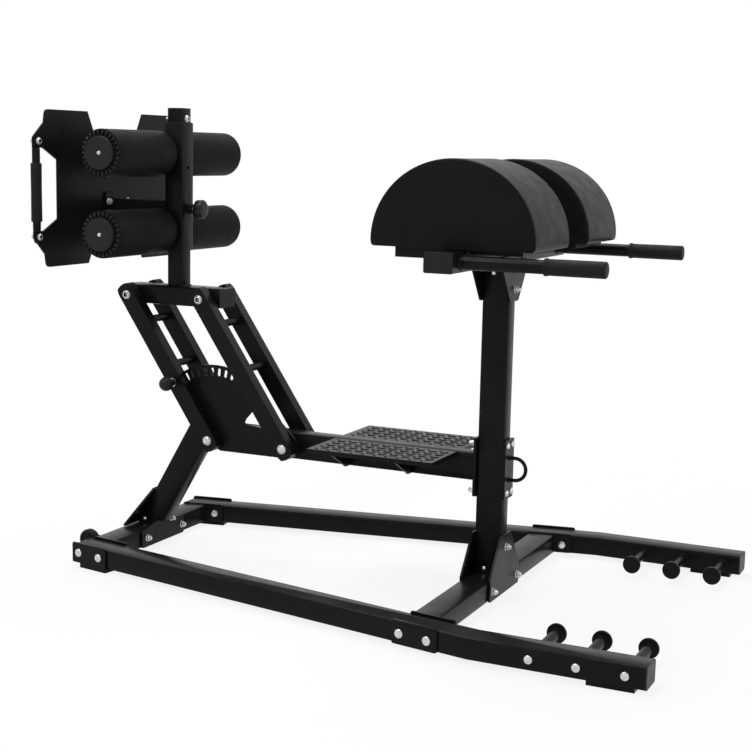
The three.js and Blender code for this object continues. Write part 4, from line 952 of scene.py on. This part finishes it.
# lift handle plate against the post, with its nuts behind the spine's flange, and pad trays
flange_rear = low_high("main_beam")[1].x - 8
for y in (-18, 18):
    for z in (288, 416):
        dome_head(bolts, (plate_front, y, z), X, 9.0, 4.6)
        nut(bolts, (flange_rear, y * 1.3, z), -X, 7.2, z, 3.0)
for side, sign in SIDES.items():
    low, high = low_high(f"pad_tray_{side}")
    for x in (low.x + 40, high.x - 26):
        dome_head(bolts, (x, sign * TRAY_BOLT_Y, high.z - TRAY_THICK), -Z, 6.5, 3.2)
piece("frame_bolts", bolts, ZINC, "frame")

# Bolts of the foot plate: its handles, and the flange of its arm
PLATE_FRONT, PLATE_REAR = -881.75, -887.75
HANDLE_BOLT_Y, ARM_BOLT_Y = 363, 48
bolts = bmesh.new()
for sign in SIDES.values():
    for z in (1190, 930):
        y = sign * HANDLE_BOLT_Y
        socket_head(bolts, (PLATE_FRONT, y, z), X, 8.8, 5.0, 4.4, z)
        nut(bolts, (PLATE_REAR - 5.6, y, z), -X, 7.2, z, 2.5)
    for z in (1020, 988):
        y = sign * ARM_BOLT_Y
        nut(bolts, (PLATE_FRONT + 6.3, y, z), X, 7.6, z, 3.0)
        dome_head(bolts, (PLATE_REAR, y, z), -X, 10.0, 4.8)
piece("foot_plate_bolts", bolts, ZINC_WITH_SHADED_RECESSES, "roller_sleeve")

# Stop bolt through the top of the roller post
post_low, post_high = low_high("roller_post")
stop_z = low_high("roller_post_cap")[1].z - 30
bolts = bmesh.new()
socket_head(bolts, (post_high.x, 0, stop_z), X, 9.0, 5.2, 3.4, 0.4)
nut(bolts, (post_low.x, 0, stop_z), -X, 7.2, 0.1, 6.0)
piece("roller_post_stop_bolt", bolts, ZINC_WITH_SHADED_RECESSES, "carriage")


def weld(bm, corners, radius=2.4, closed=False):
    """A rippled bead along straight runs between corners."""
    corners = [Vector(c) for c in corners]
    if closed:
        corners.append(corners[0])
    for start, stop in zip(corners, corners[1:]):
        count = max(int((stop - start).length / 1.6), 3)
        points = [start.lerp(stop, k / count) for k in range(count + 1)]
        sweep(bm, points, radius, 8, lambda i: 1 + 0.12 * math.sin(i * 2.1) + 0.05 * math.sin(i * 0.7))


def ring_of(at, radius, axis, count=40):
    side = axis.orthogonal().normalized()
    other = axis.cross(side)
    return [
        Vector(at) + side * radius * math.cos(2 * math.pi * k / count)
        + other * radius * math.sin(2 * math.pi * k / count)
        for k in range(count)
    ]


CROSS_X = (-762.25, 327.25)  # middles of the two crossmembers
CROSS_HALF = 37.5
beads = bmesh.new()
for sign in SIDES.values():
    for x in CROSS_X:
        for edge in (-CROSS_HALF, CROSS_HALF):
            y = rail_middle(x + edge) - BESIDE
            weld(beads, [(x + edge, sign * y, BASE_Z - 24), (x + edge, sign * y, BASE_Z + 24)])
        weld(beads, [(x + edge, sign * (rail_middle(x + edge) - BESIDE), 65) for edge in (-33, 33)])
SPINE_LOW, SPINE_HIGH = 316, 387  # where the spine meets its flange
weld(beads, [(flange_rear, a * 25, SPINE_LOW if b < 0 else SPINE_HIGH) for a, b in CORNERS], closed=True)
piece("frame_welds", beads, POWDER, "frame", sharp=60)

SLEEVE_REAR = -693.8
ARM_Z = 1004.0
HALF_TUBE = 25  # of the arm and of the roller post
beads = bmesh.new()
for x in (SLEEVE_REAR, PLATE_FRONT + 6.6):
    weld(beads, [(x, a * HALF_TUBE, ARM_Z + b * HALF_TUBE) for a, b in CORNERS], 2.6, closed=True)
for at in AXLES:
    for sign in SIDES.values():
        weld(beads, ring_of((at.x, sign * 29, at.z), 16.6, Y), 1.7, closed=True)
piece("sleeve_welds", beads, POWDER, "roller_sleeve", sharp=60)

beads = bmesh.new()
at = middle("roller_post")
weld(beads, [(at.x + a * HALF_TUBE, b * HALF_TUBE, post_low.z) for a, b in CORNERS], closed=True)
piece("roller_post_weld", beads, POWDER, "carriage", sharp=60)


# Everything that the CAD frame keeps gets its finish, round shading and eased edges
def smooth_round_faces():
    """A modifier that shades the turned faces of a CAD node as round, and keeps its real edges."""
    tree = bpy.data.node_groups.new("round_faces", "GeometryNodeTree")
    tree.interface.new_socket("Geometry", in_out="INPUT", socket_type="NodeSocketGeometry")
    tree.interface.new_socket("Geometry", in_out="OUTPUT", socket_type="NodeSocketGeometry")
    node = tree.nodes.new
    start, end = node("NodeGroupInput"), node("NodeGroupOutput")
    merge = node("GeometryNodeMergeByDistance")
    merge.inputs["Distance"].default_value = 1e-5
    drop = node("GeometryNodeRemoveAttribute")
    drop.inputs["Name"].default_value = "custom_normal"
    faces, edges = node("GeometryNodeSetShadeSmooth"), node("GeometryNodeSetShadeSmooth")
    faces.domain, edges.domain = "FACE", "EDGE"
    edges.inputs["Shade Smooth"].default_value = False
    angle = node("GeometryNodeInputMeshEdgeAngle")
    over_limit = node("FunctionNodeCompare")
    over_limit.operation = "GREATER_THAN"
    over_limit.inputs["B"].default_value = math.radians(SMOOTH_BELOW)
    tree.links.new(start.outputs[0], merge.inputs["Geometry"])
    tree.links.new(merge.outputs["Geometry"], drop.inputs["Geometry"])
    tree.links.new(drop.outputs["Geometry"], faces.inputs["Geometry"])
    tree.links.new(faces.outputs["Geometry"], edges.inputs["Geometry"])
    tree.links.new(angle.outputs["Unsigned Angle"], over_limit.inputs["A"])
    tree.links.new(over_limit.outputs["Result"], edges.inputs["Selection"])
    tree.links.new(edges.outputs["Geometry"], end.inputs[0])
    return tree


round_faces = smooth_round_faces()
slot_of = {row["node"]: row["material_slot"] for row in frame["record"]["subparts"]}
for name, target in frame["nodes"].items():
    if target.hide_render:
        continue
    for material_slot in target.material_slots:
        material_slot.material = BY_SLOT[slot_of[name]]
    shading = target.modifiers.new("shading", "NODES")
    shading.node_group = round_faces
    flats = target.modifiers.new("flats", "DECIMATE")
    flats.decimate_type = "DISSOLVE"
    flats.angle_limit = math.radians(0.5)
    soften(target, 0.8)

# Stage: floor, world and lamps
FLOOR_HALF = 9.0
FLOOR_Z = -0.0004  # just under the feet
bm = bmesh.new()
bm.faces.new([bm.verts.new((x * FLOOR_HALF, y * FLOOR_HALF, FLOOR_Z)) for x, y in CORNERS])
floor_mesh = bpy.data.meshes.new("floor")
bm.to_mesh(floor_mesh)
bm.free()
floor = bpy.data.objects.new("floor", floor_mesh)
scene.collection.objects.link(floor)


def seen_rays(tree):
    """1 where the camera, a reflection or glass looks, 0 where a surface gathers light."""
    path = tree.nodes.new("ShaderNodeLightPath")
    total = path.outputs["Is Camera Ray"]
    for other in ("Is Glossy Ray", "Is Transmission Ray"):
        either = tree.nodes.new("ShaderNodeMath")
        either.operation = "MAXIMUM"
        tree.links.new(total, either.inputs[0])
        tree.links.new(path.outputs[other], either.inputs[1])
        total = either.outputs[0]
    return total


def mixed(tree, share, first, second, output):
    """Shows the second shader in place of the first, by a share from 0 to 1."""
    mix = tree.nodes.new("ShaderNodeMixShader")
    for source, socket in zip((share, first.outputs[0], second.outputs[0]), mix.inputs):
        tree.links.new(source, socket)
    tree.links.new(mix.outputs[0], tree.nodes[output].inputs["Surface"])


def studio_ground():
    """A pale floor that shows shadows, and fades to pure white away from the machine."""
    ground = bpy.data.materials.new("floor")
    ground.use_nodes = True
    tree = ground.node_tree
    diffuse = tree.nodes["Principled BSDF"]
    diffuse.inputs["Base Color"].default_value = (0.86, 0.86, 0.86, 1)
    diffuse.inputs["Roughness"].default_value = 0.9
    coords = tree.nodes.new("ShaderNodeTexCoord")
    reach = tree.nodes.new("ShaderNodeVectorMath")
    reach.operation = "LENGTH"
    tree.links.new(coords.outputs["Object"], reach.inputs[0])
    fade = tree.nodes.new("ShaderNodeMapRange")
    for socket, value in (("From Min", 1.0), ("From Max", 2.4), ("To Min", 0.86), ("To Max", 1.0)):
        fade.inputs[socket].default_value = value
    tree.links.new(reach.outputs["Value"], fade.inputs["Value"])
    share = tree.nodes.new("ShaderNodeMath")
    share.operation = "MULTIPLY"
    tree.links.new(seen_rays(tree), share.inputs[0])
    tree.links.new(fade.outputs["Result"], share.inputs[1])
    mixed(tree, share.outputs[0], diffuse, tree.nodes.new("ShaderNodeEmission"), "Material Output")
    return ground


def studio_world():
    """White where it is seen or mirrored, dimmer where it lights surfaces."""
    world = bpy.data.worlds.new("studio")
    world.use_nodes = True
    tree = world.node_tree
    dim, bright = tree.nodes["Background"], tree.nodes.new("ShaderNodeBackground")
    dim.inputs["Strength"].default_value = 0.42
    for background in (dim, bright):
        background.inputs["Color"].default_value = (1, 1, 1, 1)
    mixed(tree, seen_rays(tree), dim, bright, "World Output")
    return world


def lamp(name, at, target, size, power):
    data = bpy.data.lights.new(name, "AREA")
    data.shape = "SQUARE"
    data.size = size
    data.energy = power
    made = bpy.data.objects.new(name, data)
    made.location = at
    made.rotation_mode = "QUATERNION"
    made.rotation_quaternion = (Vector(target) - Vector(at)).to_track_quat("-Z", "Y")
    scene.collection.objects.link(made)


floor_mesh.materials.append(studio_ground())
scene.world = studio_world()
lamp("overhead", (-0.9, 0.7, 4.2), (0, 0, 0.4), 2.2, 115)
lamp("front", (-1.3, -2.4, 3.8), (0.2, -0.2, 0.8), 1.3, 50)
lamp("right", (4.2, 0.6, 2.2), (0, 0, 0.7), 2.0, 30)
scene.view_settings.view_transform = "Standard"
